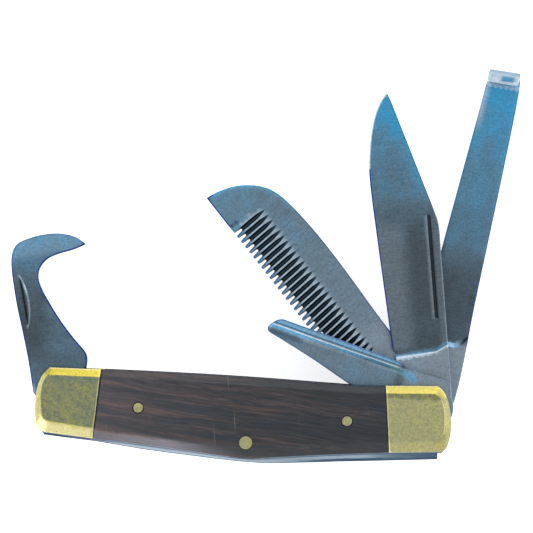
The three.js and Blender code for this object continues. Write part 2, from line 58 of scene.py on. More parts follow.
PIVOT = {"left": (-45.4, 1.3), "right": (45.4, 1.3)}
PIVOT_PIN_R = 1.5
PIVOT_HOLE_R = 1.56
ROCKER = (0.93, -9.45)
ROCKER_PIN_R = 1.6
SCALE_PINS = {"left": (-25.85, -2.17), "right": (25.55, -2.93)}
SCALE_PIN_R = 1.2
PIN_CLEARANCE = 0.05
COVER_CHAMFER_T = 1.8
TANG_R = 6.3

# ---- fineness of the meshes

STEP = 0.45  # between points along an edge
SKIN = 0.02  # how far a piece stays inside its CAD solid
CELL = 0.8  # between points inside an outline
SHARP_DEG = 34
ROUNDED_DEG = (30, 60, 90)  # where the rings of points lie along a rounded edge
EDGE_CLEAR = 0.02  # a line's points are left out when they are nearer than this to an edge
RING_CLEAR = 0.93  # of its depth, and a ring's points are left out when they are nearer
GRID_CLEAR = 0.3  # of a cell, left free beside the rings and lines
SLIVER = 0.003  # triangles along an edge that are narrower than this are left out
BACK_SHARE = {"mark": 0.6, "tone": 0.0, "rim": 0.0}  # of what the front face has


# ---- lines in a plane


def spline(pairs, step=STEP):
    """A smooth curve through the points, with a point about every step."""
    p = np.array(pairs, float)
    made = []
    for i in range(len(p) - 1):
        before, start, end, after = p[max(i - 1, 0)], p[i], p[i + 1], p[min(i + 2, len(p) - 1)]
        leave, arrive = (end - before) / 2, (after - start) / 2
        count = max(2, math.ceil(np.linalg.norm(end - start) / step))
        for t in np.arange(count) / count:
            cubic = 2 * start - 2 * end + leave + arrive
            square = -3 * start + 3 * end - 2 * leave - arrive
            made.append(cubic * t**3 + square * t**2 + leave * t + start)
    return np.array([*made, p[-1]])


def arc(radius, start_deg, end_deg, centre=(0, 0), step=STEP):
    count = max(3, math.ceil(abs(math.radians(end_deg - start_deg)) * radius / step))
    angle = np.radians(np.linspace(start_deg, end_deg, count + 1))
    return np.stack([centre[0] + radius * np.cos(angle), centre[1] + radius * np.sin(angle)], 1)


def fine(line, step=STEP, closed=False):
    """The same line, with no stretch longer than step and no repeated point."""
    p = np.array(line, float)
    ends = np.roll(p, -1, 0) if closed else p[1:]
    made = []
    for a, b in zip(p, ends):
        length = np.linalg.norm(b - a)
        if length > 1e-4:
            count = math.ceil(length / step)
            made += [a + (b - a) * k / count for k in range(count)]
    return np.array(made if closed else [*made, p[-1]])


def loop(*stretches):
    """One closed outline, counter-clockwise."""
    p = fine(np.concatenate([np.array(s, float) for s in stretches]), closed=True)
    x, y = p.T
    area = np.sum(x * np.roll(y, -1) - np.roll(x, -1) * y)
    return p if area > 0 else p[::-1]


def inset(outline, by):
    """The closed outline moved inwards, point by point."""
    along = np.roll(outline, -1, 0) - outline
    along /= np.linalg.norm(along, axis=1)[:, None]
    inward = np.stack([-along[:, 1], along[:, 0]], 1)
    both = inward + np.roll(inward, 1, 0)
    both /= np.maximum(np.sum(both * inward, axis=1), 0.35)[:, None]
    return outline + both * by


def distance(points, starts, ends):
    """How far each point is from the nearest of these segments."""
    best = np.empty(len(points))
    step = ends - starts
    square = np.maximum(np.sum(step * step, axis=1), 1e-12)
    for k in range(0, len(points), 1500):
        gap = points[k : k + 1500, None] - starts
        t = unit(np.sum(gap * step, axis=2) / square)
        best[k : k + 1500] = np.linalg.norm(gap - t[..., None] * step, axis=2).min(1)
    return best


def from_line(points, line):
    line = np.array(line, float)
    return distance(points, line[:-1], line[1:])


def from_loop(points, outline):
    return distance(points, outline, np.roll(outline, -1, 0))


def inside(points, outline):
    """True for each point inside the closed outline."""
    x, y = points[:, 0, None], points[:, 1, None]
    a, b = outline, np.roll(outline, -1, 0)
    spans = (a[:, 1] > y) != (b[:, 1] > y)
    rise = np.where(np.abs(b[:, 1] - a[:, 1]) < 1e-12, 1e-12, b[:, 1] - a[:, 1])
    crossing = a[:, 0] + (y - a[:, 1]) / rise * (b[:, 0] - a[:, 0])
    return np.sum(spans & (x < crossing), axis=1) % 2 == 1


def clip(outline, low, high, side):
    """The part of a closed outline right of the line from low up to high, or left of it for side -1."""
    normal = np.array([high[1] - low[1], low[0] - high[0]]) * side
    over = (outline - low) @ normal
    made = []
    for i in range(len(outline)):
        j = (i + 1) % len(outline)
        if over[i] >= 0:
            made.append(outline[i])
        if (over[i] >= 0) != (over[j] >= 0):
            made.append(outline[i] + (outline[j] - outline[i]) * over[i] / (over[i] - over[j]))
    return np.array(made)


def unit(x):
    return np.clip(x, 0, 1)


def smooth(x, start=0.0, end=1.0):
    t = unit((x - start) / (end - start))
    return t * t * (3 - 2 * t)


def flat(points):
    """A level face at height 0."""
    return np.zeros(len(points))


# ---- a plate with relief on both faces


def triangulated(outline, holes, lines, ring_depths, cell):
    """Points and triangles that fill an outline, closer together along its edges and lines."""
    rims = [outline, *holes]
    starts = np.concatenate(rims)
    ends = np.concatenate([np.roll(r, -1, 0) for r in rims])
    rows, edges, count = [], [], 0
    for rim in rims:
        edges += [(count + i, count + (i + 1) % len(rim)) for i in range(len(rim))]
        rows.append(rim)
        count += len(rim)
    line_starts, line_ends = [], []
    for line in lines:
        line = fine(line)
        fits = inside(line, outline) & (distance(line, starts, ends) > EDGE_CLEAR)
        joined = np.flatnonzero(fits[:-1] & fits[1:])
        edges += [(count + i, count + i + 1) for i in joined]
        rows.append(line)
        count += len(line)
        line_starts.append(line[joined])
        line_ends.append(line[joined + 1])
    for depth in ring_depths:
        for sign, rim in [(1, outline), *((-1, h) for h in holes)]:
            ring = inset(rim, depth * sign)
            rows.append(ring[distance(ring, starts, ends) > depth * RING_CLEAR])
    low, high = outline.min(0), outline.max(0)
    row_gap = cell * math.sqrt(0.75)
    grid = np.array([
        (x + (row % 2) * cell / 2, y)
        for row, y in enumerate(np.arange(low[1], high[1], row_gap))
        for x in np.arange(low[0], high[0], cell)
    ])
    grid = grid[inside(grid, outline)]
    grid = grid[distance(grid, starts, ends) > max(ring_depths) + cell * GRID_CLEAR]
    if line_starts:
        clear = distance(grid, np.concatenate(line_starts), np.concatenate(line_ends))
        grid = grid[clear > cell * GRID_CLEAR]
    rows.append(grid)
    points = np.concatenate(rows)
    filled = delaunay_2d_cdt([Vector(p) for p in points], edges, [], 1, 1e-5, False)
    points = np.array([v[:] for v in filled[0]])
    triangles = np.array(filled[2])
    middles = points[triangles].mean(1)
    keep = inside(middles, outline)
    for hole in holes:
        keep &= ~inside(middles, hole)
    triangles = triangles[keep]
    used, triangles = np.unique(triangles, return_inverse=True)
    points, triangles = points[used], triangles.reshape(-1, 3)
    edge = distance(points, starts, ends)
    return points, triangles[~slivers(points, triangles, edge)], edge


def slivers(points, triangles, edge):
    """True for each triangle that has no width and lies along the rim."""
    corner = points[triangles]
    sides = np.roll(corner, -1, 1) - corner
    doubled = np.abs(sides[:, 0, 0] * sides[:, 1, 1] - sides[:, 0, 1] * sides[:, 1, 0])
    longest = np.linalg.norm(sides, axis=2).max(1)
    return (doubled < longest * SLIVER) & (edge[triangles] < SLIVER).all(1)


def relief(
    name, outline, face, back, place, holes=(), lines=(), rounding=0.14, cell=CELL, marks=None,
    back_share=BACK_SHARE,
):
    """A closed plate. face and back give its heights at (points), and place turns (u, v, z) to x, y, z.

    marks gives up to three values at (points) for the material: mark, tone and rim.
    """
    outline = inset(outline, SKIN)
    depths = [rounding * (1 - math.cos(math.radians(a))) for a in ROUNDED_DEG]
    points, triangles, edge = triangulated(outline, list(holes), lines, depths, cell)
    top, bottom = face(points), back(points)
    thick = np.maximum(top - bottom, 0.02)
    shy = np.clip(rounding - edge, 0, rounding)
    drop = (rounding - np.sqrt(rounding**2 - shy**2)) * np.minimum(1, thick / (2.4 * rounding))
    top, bottom = top - drop - SKIN / 2, bottom + drop + SKIN / 2
    count = len(points)
    directed = np.concatenate([triangles[:, [0, 1]], triangles[:, [1, 2]], triangles[:, [2, 0]]])
    seen = {tuple(e) for e in directed}
    rim = [(a, b) for a, b in seen if (b, a) not in seen]
    walls = [(a + count, b + count, b, a) for a, b in sorted(rim)]
    faces = [*triangles.tolist(), *(triangles[:, ::-1] + count).tolist(), *walls]
    flat = np.concatenate([points, points])
    heights = np.concatenate([top, bottom])
    own = np.column_stack([flat, heights])
    mesh = bpy.data.meshes.new(name)
    mesh.from_pydata((place(own) * MM).tolist(), [], faces)
    mesh.validate()
    store(mesh, "own", "FLOAT_VECTOR", own)
    store(mesh, "edge", "FLOAT", np.concatenate([edge, edge]))
    if marks is not None:
        for key, values in zip(("mark", "tone", "rim"), marks(points)):
            values = np.broadcast_to(values, count)
            store(mesh, key, "FLOAT", np.concatenate([values, values * back_share[key]]))
    return shown(name, mesh)


def store(mesh, name, kind, values):
    layer = mesh.attributes.new(name, kind, "POINT")
    key = "vector" if kind == "FLOAT_VECTOR" else "value"
    layer.data.foreach_set(key, np.ravel(values).astype(np.float32))


def shown(name, mesh):
    """An object of this mesh, shaded smoothly up to its sharp edges, with its faces pointing out."""
    made = bmesh.new()
    made.from_mesh(mesh)
    bmesh.ops.recalc_face_normals(made, faces=made.faces)
    made.to_mesh(mesh)
    made.free()
    mesh.polygons.foreach_set("use_smooth", [True] * len(mesh.polygons))
    mesh.set_sharp_from_angle(angle=math.radians(SHARP_DEG))
    return linked(name, mesh)


def linked(name, data):
    """A new object of this data, in the scene."""
    made = bpy.data.objects.new(name, data)
    bpy.context.scene.collection.objects.link(made)
    return made


def stand_in(piece, node, body, material):
    """The piece takes a CAD node's place on its body and material."""
    piece.data.materials.clear()
    piece.data.materials.append(material)
    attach(piece, body)
    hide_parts(node)


def levels(node):
    """The heights of a CAD node's back and front, in millimetres."""
    low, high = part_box(node)
    return low.z / MM, high.z / MM


# ---- node materials

BUMP_STRENGTH = 0.5


class Shader:
    """A material or a world built by calls: each adds a node and returns its output."""

    def __init__(self, owner):
        owner.use_nodes = True
        self.owner, self.tree = owner, owner.node_tree
        self.tree.nodes.clear()

    def node(self, kind, inputs=(), out=0, **settings):
        made = self.tree.nodes.new("ShaderNode" + kind)
        for key, value in settings.items():
            setattr(made, key, value)
        for key, value in dict(inputs).items():
            if isinstance(value, bpy.types.NodeSocket):
                self.tree.links.new(value, made.inputs[key])
            else:
                made.inputs[key].default_value = value
        return made.outputs[out] if out is not None else None

    def own(self):
        """Millimetres in the piece's own axes."""
        return self.node("Attribute", out=1, attribute_name="own")

    def value(self, name):
        return self.node("Attribute", out=2, attribute_name=name)

    def place(self):
        """Millimetres in the CAD frame, at rest."""
        here = self.node("TexCoord", out=3)
        return self.stretch(here, (1 / MM, 1 / MM, 1 / MM))

    def stretch(self, vector, scale, turn_deg=0.0):
        turned = self.node("Mapping", {"Vector": vector, "Rotation": (0, 0, math.radians(turn_deg))})
        return self.node("Mapping", {"Vector": turned, "Scale": scale})

    def noise(self, vector, scale, detail=3.0, rough=0.55, turn_deg=0.0):
        """Noise with that many lumps per millimetre: one number, or one for each axis."""
        if isinstance(scale, tuple):
            vector, scale = self.stretch(vector, scale, turn_deg), 1.0
        settings = {"Vector": vector, "Scale": scale, "Detail": detail, "Roughness": rough}
        return self.node("TexNoise", settings)

    def fade(self, value, start, end, low=0.0, high=1.0):
        return self.node("MapRange", {0: value, 1: start, 2: end, 3: low, 4: high})

    def math(self, operation, a, b=0.0):
        return self.node("Math", {0: a, 1: b}, operation=operation)

    def times(self, a, b):
        return self.math("MULTIPLY", a, b)

    def mix(self, share, a, b, blend="MIX"):
        return self.node("Mix", {0: share, 6: a, 7: b}, out=2, data_type="RGBA", blend_type=blend)

    def ramp(self, value, stops):
        """A colour for each value, with (value, colour) stops from 0 to 1."""
        made = self.tree.nodes.new("ShaderNodeValToRGB")
        self.tree.links.new(value, made.inputs[0])
        elements = made.color_ramp.elements
        for place, _ in stops[1:-1]:
            elements.new(place)
        for element, (place, colour) in zip(elements, stops):
            element.position = place
            element.color = colour
        return made.outputs[0]

    def toned(self, colour, amount, pale, dark):
        """The colour turned towards pale where amount is above 0, and dark where it is below."""
        lighter = self.mix(self.fade(amount, 0.0, 1.0), colour, pale)
        return self.mix(self.fade(amount, 0.0, -1.0), lighter, dark)

    def rimmed(self, colour, start, end, pale, dark):
        """The colour with the line that rim asks for, fading in from start to end mm off the edge."""
        line = self.fade(self.value("edge"), start, end)
        return self.toned(colour, self.times(line, self.value("rim")), pale, dark)

    def bump(self, height, depth_mm):
        return self.node("Bump", {"Height": height, "Distance": depth_mm * MM, "Strength": BUMP_STRENGTH})

    def output(self, kind, surface):
        self.node(kind, {"Surface": surface}, out=None)

    def finish(self, **inputs):
        """The surface itself, with the Principled shader's inputs by name."""
        named = {key.replace("_", " "): value for key, value in inputs.items()}
        self.output("OutputMaterial", self.node("BsdfPrincipled", named))
        return self.owner


def rgb(red, green, blue):
    """A colour as the eye reads it, 0 to 255, in the shader's linear values."""
    share = [c / 255 for c in (red, green, blue)]
    return tuple(c / 12.92 if c <= 0.04045 else ((c + 0.055) / 1.055) ** 2.4 for c in share) + (1.0,)


def blade_steel():
    """Steel brushed across the blade.

    mark turns it from grey to blue, tone lightens or darkens it, and rim draws a line on its edge. The
    tools paint highlights, reflections and shade into all three.
    """
    s = Shader(bpy.data.materials.new("brushed_blade_steel"))
    own = s.own()
    brushed = s.noise(own, (5.5, 0.35, 1.0), 4.0, 0.6, 3.0)
    cloud = s.noise(own, (0.16, 0.22, 0.2), 3.0, 0.6)
    speck = s.noise(own, 2.6, 2.0, 0.7)
    cast = s.math("ADD", s.value("mark"), s.fade(cloud, 0.3, 0.7, -0.12, 0.12))
    colour = s.ramp(cast, [
        (0.0, rgb(80, 89, 95)), (0.4, rgb(98, 118, 131)),
        (0.75, rgb(96, 142, 168)), (1.0, rgb(74, 158, 200)),
    ])
    # pale paints highlights, and shade and the dark blue after it paint shade, on the face and along the
    # edges
    pale, shade, edge_shade = rgb(212, 225, 236), rgb(34, 44, 52), rgb(12, 46, 140)
    colour = s.toned(colour, s.value("tone"), pale, shade)
    colour = s.rimmed(colour, 0.38, 0.28, pale, edge_shade)
    grit = s.noise(own, 1.9, 3.0, 0.75)
    grain_light = s.math("ADD", s.fade(brushed, 0.3, 0.72, 0.87, 1.21), s.fade(grit, 0.3, 0.7, -0.2, 0.24))
    colour = s.mix(1.0, colour, grain_light, "MULTIPLY")
    colour = s.mix(s.fade(speck, 0.62, 0.75, 0.0, 0.22), colour, rgb(52, 60, 68))
    rough = s.math("ADD", s.fade(brushed, 0.2, 0.8, 0.34, 0.46), s.fade(cloud, 0.3, 0.7, -0.04, 0.05))
    grain = s.bump(brushed, 0.02)
    return s.finish(Base_Color=colour, Metallic=0.92, Roughness=rough, Normal=grain)


def spring_steel():
    """Spring and liner stock, ground along the handle. tone lightens or darkens it with painted light and
    shade, and a dark blue line of painted shade runs along every edge.
    """
    s = Shader(bpy.data.materials.new("ground_spring_steel"))
    place = s.place()
    ground = s.noise(place, (0.4, 6.0, 6.0), 4.0, 0.6)
    cloud = s.noise(place, 0.25, 3.0)
    colour = s.mix(s.fade(ground, 0.3, 0.7), rgb(116, 136, 152), rgb(164, 180, 192))
    colour = s.mix(s.fade(cloud, 0.5, 0.75, 0.0, 0.3), colour, rgb(86, 112, 138))
    colour = s.toned(colour, s.value("tone"), rgb(225, 234, 242), rgb(44, 72, 104))
    # a dark blue line of painted shade along every edge
    line = s.fade(s.value("edge"), 0.24, 0.16)
    colour = s.mix(s.times(line, 0.65), colour, rgb(40, 62, 100))
    rough = s.fade(ground, 0.2, 0.8, 0.3, 0.44)
    return s.finish(Base_Color=colour, Metallic=0.95, Roughness=rough, Normal=s.bump(ground, 0.015))


def brass():
    """Brass with a dull olive bloom, small pits, and bright edges that are partly worn and partly a painted
    highlight.

    mark turns it bright yellow, tone pale or dull, and rim draws a line on its edge. The bolsters paint
    highlights, light and shade on their chamfers through all three.
    """
    s = Shader(bpy.data.materials.new("worn_and_highlit_brass"))
    place = s.place()
    cloud = s.noise(place, 0.22, 4.0, 0.65)
    mottle = s.noise(place, 1.1, 3.0, 0.6)
    scratch = s.noise(place, (0.5, 5.0, 2.0), 3.0, 0.6, 24.0)
    colour = s.mix(s.fade(mottle, 0.35, 0.65), rgb(140, 140, 106), rgb(178, 170, 102))
    colour = s.mix(s.fade(cloud, 0.42, 0.7, 0.0, 0.55), colour, rgb(132, 138, 116))
    bright = s.value("mark")
    colour = s.toned(colour, bright, rgb(200, 182, 74), rgb(112, 130, 120))
    colour = s.toned(colour, s.value("tone"), rgb(216, 206, 150), rgb(96, 92, 60))
    colour = s.rimmed(colour, 0.34, 0.24, rgb(236, 226, 170), rgb(70, 70, 50))
    grit = s.noise(place, 2.2, 3.0, 0.75)
    colour = s.mix(1.0, colour, s.fade(grit, 0.3, 0.7, 0.84, 1.16), "MULTIPLY")
    pit = s.fade(s.noise(place, 2.6, 1.0, 0.4), 0.66, 0.72)
    colour = s.mix(s.times(pit, 0.55), colour, rgb(98, 90, 58))
    rough = s.math("ADD", s.fade(mottle, 0.3, 0.7, 0.4, 0.5), s.fade(bright, 0.0, 1.0, 0.0, -0.08))
    height = s.math("SUBTRACT", s.math("ADD", s.times(scratch, 0.4), mottle), pit)
    return s.finish(Base_Color=colour, Metallic=0.9, Roughness=rough, Normal=s.bump(height, 0.03))


def rosewood():
    """Dark rosewood: near black, with faint red-brown streaks, open pores and a few scratches."""
    s = Shader(bpy.data.materials.new("dark_rosewood"))
    place = s.place()
    tilt = 5.5
    wander = s.noise(place, (0.03, 0.12, 0.12), 2.0, turn_deg=tilt)
    drift = s.node("CombineXYZ", {1: s.times(wander, 4.5)})
    bent = s.node("VectorMath", {0: place, 1: drift}, operation="ADD")
    streak = s.noise(bent, (0.03, 0.5, 0.5), 6.0, 0.66, tilt)
    fibre = s.noise(bent, (0.25, 6.0, 6.0), 3.0, 0.6, tilt)
    dark = s.mix(s.fade(fibre, 0.3, 0.7), rgb(20, 24, 30), rgb(48, 51, 57))
    red = s.mix(s.fade(fibre, 0.3, 0.7), rgb(58, 44, 42), rgb(106, 80, 72))
    leftward = s.fade(s.node("SeparateXYZ", {0: place}), 14.0, -34.0, -0.02, 0.1)
    colour = s.mix(s.fade(s.math("ADD", streak, leftward), 0.5, 0.74), dark, red)
    vein = s.noise(bent, (0.05, 1.9, 1.9), 3.0, 0.6, tilt)
    colour = s.mix(1.0, colour, s.fade(vein, 0.38, 0.6, 0.66, 1.12), "MULTIPLY")
    # tone paints a pale sheen
    colour = s.toned(colour, s.value("tone"), rgb(150, 142, 152), rgb(16, 16, 20))
    colour = s.rimmed(colour, 0.3, 0.2, rgb(120, 120, 120), rgb(8, 14, 34))
    pore = s.fade(s.noise(bent, (0.45, 5.0, 5.0), 1.0, turn_deg=tilt), 0.64, 0.72)
    colour = s.mix(s.times(pore, 0.6), colour, rgb(16, 14, 16))
    scratch = s.fade(s.noise(place, (2.2, 0.07, 0.07), 1.0, 0.4, -7.0), 0.76, 0.8)
    colour = s.mix(s.times(scratch, 0.3), colour, rgb(140, 132, 130))
    height = s.math("SUBTRACT", fibre, s.times(pore, 1.4))
    rough = s.fade(fibre, 0.2, 0.8, 0.42, 0.55)
    return s.finish(
        Base_Color=colour, Metallic=0.0, Roughness=rough, Normal=s.bump(height, 0.03)
    )


# ---- scales and bolsters

RIM = [
    [(-48.1, 6.7), (-20, 6.8), (0, 6.62), (20, 6.1), (28, 5.95), (34.4, 6.2), (47.5, 6.78)],
    [(47.5, 6.78), (49.2, 5.2), (50.5, 2.2), (51.3, -3), (50.6, -7.9), (49.3, -9.4)],
    [(49.3, -9.4), (36, -10.25), (20, -11.6), (8, -12.8), (2, -13.35), (-6, -12.9), (-18, -11.7),
     (-36.3, -10.35), (-48.6, -9.35)],
    [(-48.6, -9.35), (-50.5, -8.1), (-51.3, -4), (-51.1, 0.8), (-50, 4.4), (-48.1, 6.7)],
]
FACE_RIM = [
    [(-48.4, 4.68), (-20, 4.72), (0, 4.5), (20, 4.1), (28, 3.95), (34.4, 4.2), (46.8, 4.65)],
    [(46.8, 4.65), (48.2, 3.7), (49.1, 1.2), (49.45, -2.2), (49.2, -4.9), (47.4, -6.5)],
    [(47.4, -6.5), (36.3, -7.4), (20, -8.8), (8, -10), (2, -10.5), (-8, -9.95), (-20, -8.95),
     (-36.3, -7.65), (-48.2, -6.2)],
    [(-48.2, -6.2), (-49.2, -5.6), (-49.65, -3), (-49.8, 0), (-49.4, 2.9), (-48.4, 4.68)],
]
# The joints between wood and brass, as a point on each and its direction.
LEFT_JOINT = ((-35.4, 7.0), (-36.62, -10.0))
RIGHT_JOINT = ((34.48, 7.0), (36.18, -10.0))
JOINT_GAP = 0.12
COVER_SIDES = {
    "left_bolster": [(LEFT_JOINT, -1)],
    "scale": [(LEFT_JOINT, 1), (RIGHT_JOINT, -1)],
    "right_bolster": [(RIGHT_JOINT, 1)],
}


def cover_outline(piece):
    """The part of the rim that a scale or bolster takes."""
    rim = loop(*(spline(s) for s in RIM))
    for joint, side in COVER_SIDES[piece]:
        high, low = np.array(joint) + (side * JOINT_GAP / 2, 0)
        rim = clip(rim, low, high, side)
    return loop(rim)


def wood_marks(points, part):
    """Plain on the face but for a little painted sheen at its left, with a painted sheen along the belly's
    chamfer and dark lines along the edge at the slot and the joints.
    """
    x, y = points.T
    belly_sheen = np.interp(x, [-36, -30, -18, -6, 8, 30], [0.28, 0.38, 0.5, 0.1, -0.2, -0.4])
    tone = belly_sheen * smooth(part, 0.05, 0.4) * (y < 0)
    # a little painted sheen on the left of the face
    left = np.interp(x, [-36, -20, 0], [0.1, 0.05, 0]) * (part < 0.02)
    return 0, tone + left, np.where(y < -8, -0.2, -1)


def left_brass_marks(points, part):
    # The chamfer turns bright yellow: partly wear, partly a painted highlight that is strongest on the top
    # chamfer and along the crease. Its other sides get paler painted light, and its edges a painted
    # highlight line.
    x, y = points.T
    chamfer = smooth(part, 0.0, 0.12)
    crease = unit(1 - np.abs(part - 0.06) / 0.1) * ((y < 3) | (x < -48))
    top = smooth(y, 3.4, 4.9)
    bright = chamfer * (0.3 + 0.7 * top) + crease * 0.8
    pale = chamfer * (1 - top) * (0.75 - 0.6 * smooth(x, -48, -50.5)) * (1 - crease)
    at_joint = x > -37.2
    flat = 0.55 * (1 - chamfer)
    return unit(bright) - flat, pale, np.where(at_joint, 0.5, np.where(y > 4, 0.7, 0.2))


def right_brass_marks(points, part):
    # The chamfer turns bright yellow: partly wear, partly a painted highlight on the top chamfer, with a
    # painted glint at the lower right corner. Its lower and end sides get paler painted light, a band under
    # the top chamfer gets painted shade, and the joint and upper edge get a painted highlight line.
    x, y = points.T
    chamfer = smooth(part, 0.0, 0.12)
    top = smooth(y, 3.4, 4.9)
    corner = unit(1 - np.hypot(x - 48.8, (y + 7.9) * 0.7) / 1.1)
    bright = chamfer * (0.85 * top + 0.08) + corner * 1.6 * chamfer
    low = smooth(y, -5.5, -7.5)
    beige = chamfer * (0.1 * smooth(x, 48.6, 49.6) * (1 - top) + 0.4 * low + 0.2 * top) * (1 - corner)
    beige = beige + 0.35 * corner * chamfer
    shade = 0.6 * (part < 0.02) * smooth(y, 3.3, 3.7)
    at_joint = x < 36.9
    flat = 0.4 * (1 - chamfer)
    return unit(bright), beige + flat - shade, np.where(at_joint, 0.5, np.where(y > 4, 0.5, 0))


COVER_MARKS = {
    "scale": wood_marks, "left_bolster": left_brass_marks, "right_bolster": right_brass_marks,
}


def cover(side, piece, material):
    """One scale or bolster: a flat face, a wide chamfer and a low wall, with softened edges."""
    node = f"{side}_{piece}"
    bottom, top = levels(node)
    thickness = top - bottom
    rim = loop(*(spline(s) for s in RIM))
    face_rim = loop(*(spline(s) for s in FACE_RIM))
    outline = cover_outline(piece)

    def share(points):
        """0 on the flat face, 1 at the outer rim."""
        out, to_face = from_loop(points, rim), from_loop(points, face_rim)
        return np.where(inside(points, face_rim), 0, to_face / (to_face + out + 1e-9))

    def face(points):
        part = share(points)
        soft = 0.08  # the share of the chamfer over which its crease is rounded
        eased = np.where(part < soft, part**2 / (2 * soft), part - soft / 2)
        return thickness - COVER_CHAMFER_T * eased

    def place(own):
        z = bottom + own[:, 2] if side == "front" else bottom + thickness - own[:, 2]
        return np.column_stack([own[:, :2], z])

    pins = []
    if piece == "scale":
        pins = [(ROCKER, ROCKER_PIN_R), *((c, SCALE_PIN_R) for c in SCALE_PINS.values())]
    holes = [arc(r + PIN_CLEARANCE, 0, 360, c, 0.25)[:-1] for c, r in pins]
    creases = [np.vstack([face_rim, face_rim[:1]]), inset(face_rim, -0.28), inset(face_rim, 0.12)]
    made = relief(
        node + "_shell", outline, face, flat, place, holes, creases,
        rounding=0.1, marks=lambda p: COVER_MARKS[piece](p, share(p)),
    )
    stand_in(made, node, "handle", material)


PIN_SIDES = 56
PIN_TONE = 0.4


def pin(node, centre, radius, material):
    """A round pin whose ends are slightly domed, with a softened rim."""
    bottom, top = levels(node)
    dome, soft = 0.05, 0.1
    half = [(0, 0), (radius * 0.4, dome * 0.16), (radius * 0.7, dome * 0.5), (radius - soft, dome),
            (radius - soft * 0.3, dome + soft * 0.3), (radius, dome + soft)]
    profile = [(r, bottom + z) for r, z in half] + [(r, top - z) for r, z in reversed(half)]
    places, rings, faces = [], [], []
    for r, z in profile:
        angles = [2 * math.pi * k / PIN_SIDES for k in range(PIN_SIDES if r else 1)]
        rings.append(range(len(places), len(places) + len(angles)))
        places += [(centre[0] + r * math.cos(a), centre[1] + r * math.sin(a), z) for a in angles]
    for a, b in zip(rings, rings[1:]):
        for k in range(PIN_SIDES):
            n = (k + 1) % PIN_SIDES
            corners = [a[k % len(a)], a[n % len(a)], b[n % len(b)], b[k % len(b)]]
            faces.append(list(dict.fromkeys(corners)))
    mesh = bpy.data.meshes.new(node + "_turned")
    mesh.from_pydata((np.array(places) * MM).tolist(), [], faces)
    store(mesh, "tone", "FLOAT", np.full(len(mesh.vertices), PIN_TONE))
    made = shown(node + "_turned", mesh)
    stand_in(made, node, "handle", material)


ON_FACE = 0.001  # how near the front face a corner on it lies
STOCK_STEP = 1.5  # between points along the edge of a liner or spring
LINERS = ("front_liner", "back_liner", "centre_liner_front", "centre_liner_middle", "centre_liner_back")
SPRINGS = ("hook_and_punch_spring", "knife_spring", "comb_spring", "hoof_knife_spring")


def flat_loops(node):
    """The outline and the holes of a flat CAD plate's front face, in millimetres."""
    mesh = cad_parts[node].data
    place = np.array([v.co[:] for v in mesh.vertices]) / MM
    top = place[:, 2].max()
    edges = set()
    for polygon in mesh.polygons:
        corners = [place[c] for c in polygon.vertices]
        if all(c[2] > top - ON_FACE for c in corners):
            keys = [tuple(np.round(c[:2], 3).tolist()) for c in corners]
            edges |= set(zip(keys, keys[1:] + keys[:1]))
    follow = {a: b for a, b in sorted(edges) if (b, a) not in edges}
    loops = []
    while follow:
        start, here = follow.popitem()
        made = [start]
        while here != start:
            made.append(here)
            here = follow.pop(here)
        loops.append(fine(made, STOCK_STEP, closed=True))
    loops.sort(key=lambda p: np.ptp(p[:, 0]))
    return loops[-1], loops[:-1]


# Painted light and shade along the handle, at these x: how light the liners are, and the springs off and on
# the belly.
STOCK_X = [-48, -42, -36, -30, -18, -6, 8, 15, 20, 30, 36, 42, 48]
LINER_TONE = [-0.5, -0.5, 0.0, 0.4, 0.4, 0.6, 0.2, 0.2, 0.3, 0.1, 0.1, 0.2, 0.2]
SPRING_INNER_TONE = [-0.4, -0.4, 0.1, 0.6, 0.5, 0.8, 0.4, 0.4, 0.5, 0.5, -0.1, -0.5, -0.6]
SPRING_OUTER_TONE = [-0.5, -0.4, 0.3, 0.9, 0.8, 0.9, 0.6, 0.1, -0.6, -0.8, -0.6, -0.6, -0.7]


BELLY_BAND = (0.6, 0.85)  # how far in the painted shade and light of the belly's edge ends


def flat_stock(node, material):
    """A liner or a spring, cut from flat stock: its CAD outline with softened edges."""
    outline, holes = flat_loops(node)
    bottom, top = levels(node)

    def place(own):
        return own + np.array([0, 0, bottom])

    def marks(points):
        # Painted light and shade along the handle; a spring's belly edge gets its own band of it.
        x = points[:, 0]
        if node in LINERS:
            return 0, np.interp(x, STOCK_X, LINER_TONE), 0
        outer = smooth(from_loop(points, outline), *reversed(BELLY_BAND))
        inner = np.interp(x, STOCK_X, SPRING_INNER_TONE)
        return 0, inner + (np.interp(x, STOCK_X, SPRING_OUTER_TONE) - inner) * outer, 0

    bands = []
    if node in SPRINGS:
        bands = [inset(outline, depth) for depth in BELLY_BAND]
    made = relief(
        node + "_stock", outline, lambda p: np.full(len(p), top - bottom),
        flat, place, holes, bands, rounding=0.08, cell=3.0, marks=marks,
    )
    stand_in(made, node, "handle", material)


# ---- tools

# Each tool's body, the end of the handle that it turns at, and its angle from the +X axis.
TOOLS = {
    "hoof_hook": ("hook", "left", 102.8),
    "leather_punch": ("punch", "right", 165.6),
    "knife_blade": ("knife", "right", 97.2),
    "mane_comb": ("comb", "right", 131.0),
    "hoof_knife": ("hoof_knife", "right", 79.5),
}


def tool_place(node):
    """Turns a tool's (u, v, z) into the frame. Those on the right pivot are drawn mirrored."""
    _, end, angle_deg = TOOLS[node]
    angle = math.radians(angle_deg)
    hand = 1 if end == "left" else -1
    along = np.array([math.cos(angle), math.sin(angle)])
    across = hand * np.array([-along[1], along[0]])
    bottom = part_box(node)[0].z / MM

    def place(own):
        flat = np.array(PIVOT[end]) + own[:, :1] * along + own[:, 1:2] * across
        return np.column_stack([flat, bottom + own[:, 2]])

    return place


def thickness_of(node):
    bottom, top = levels(node)
    return top - bottom


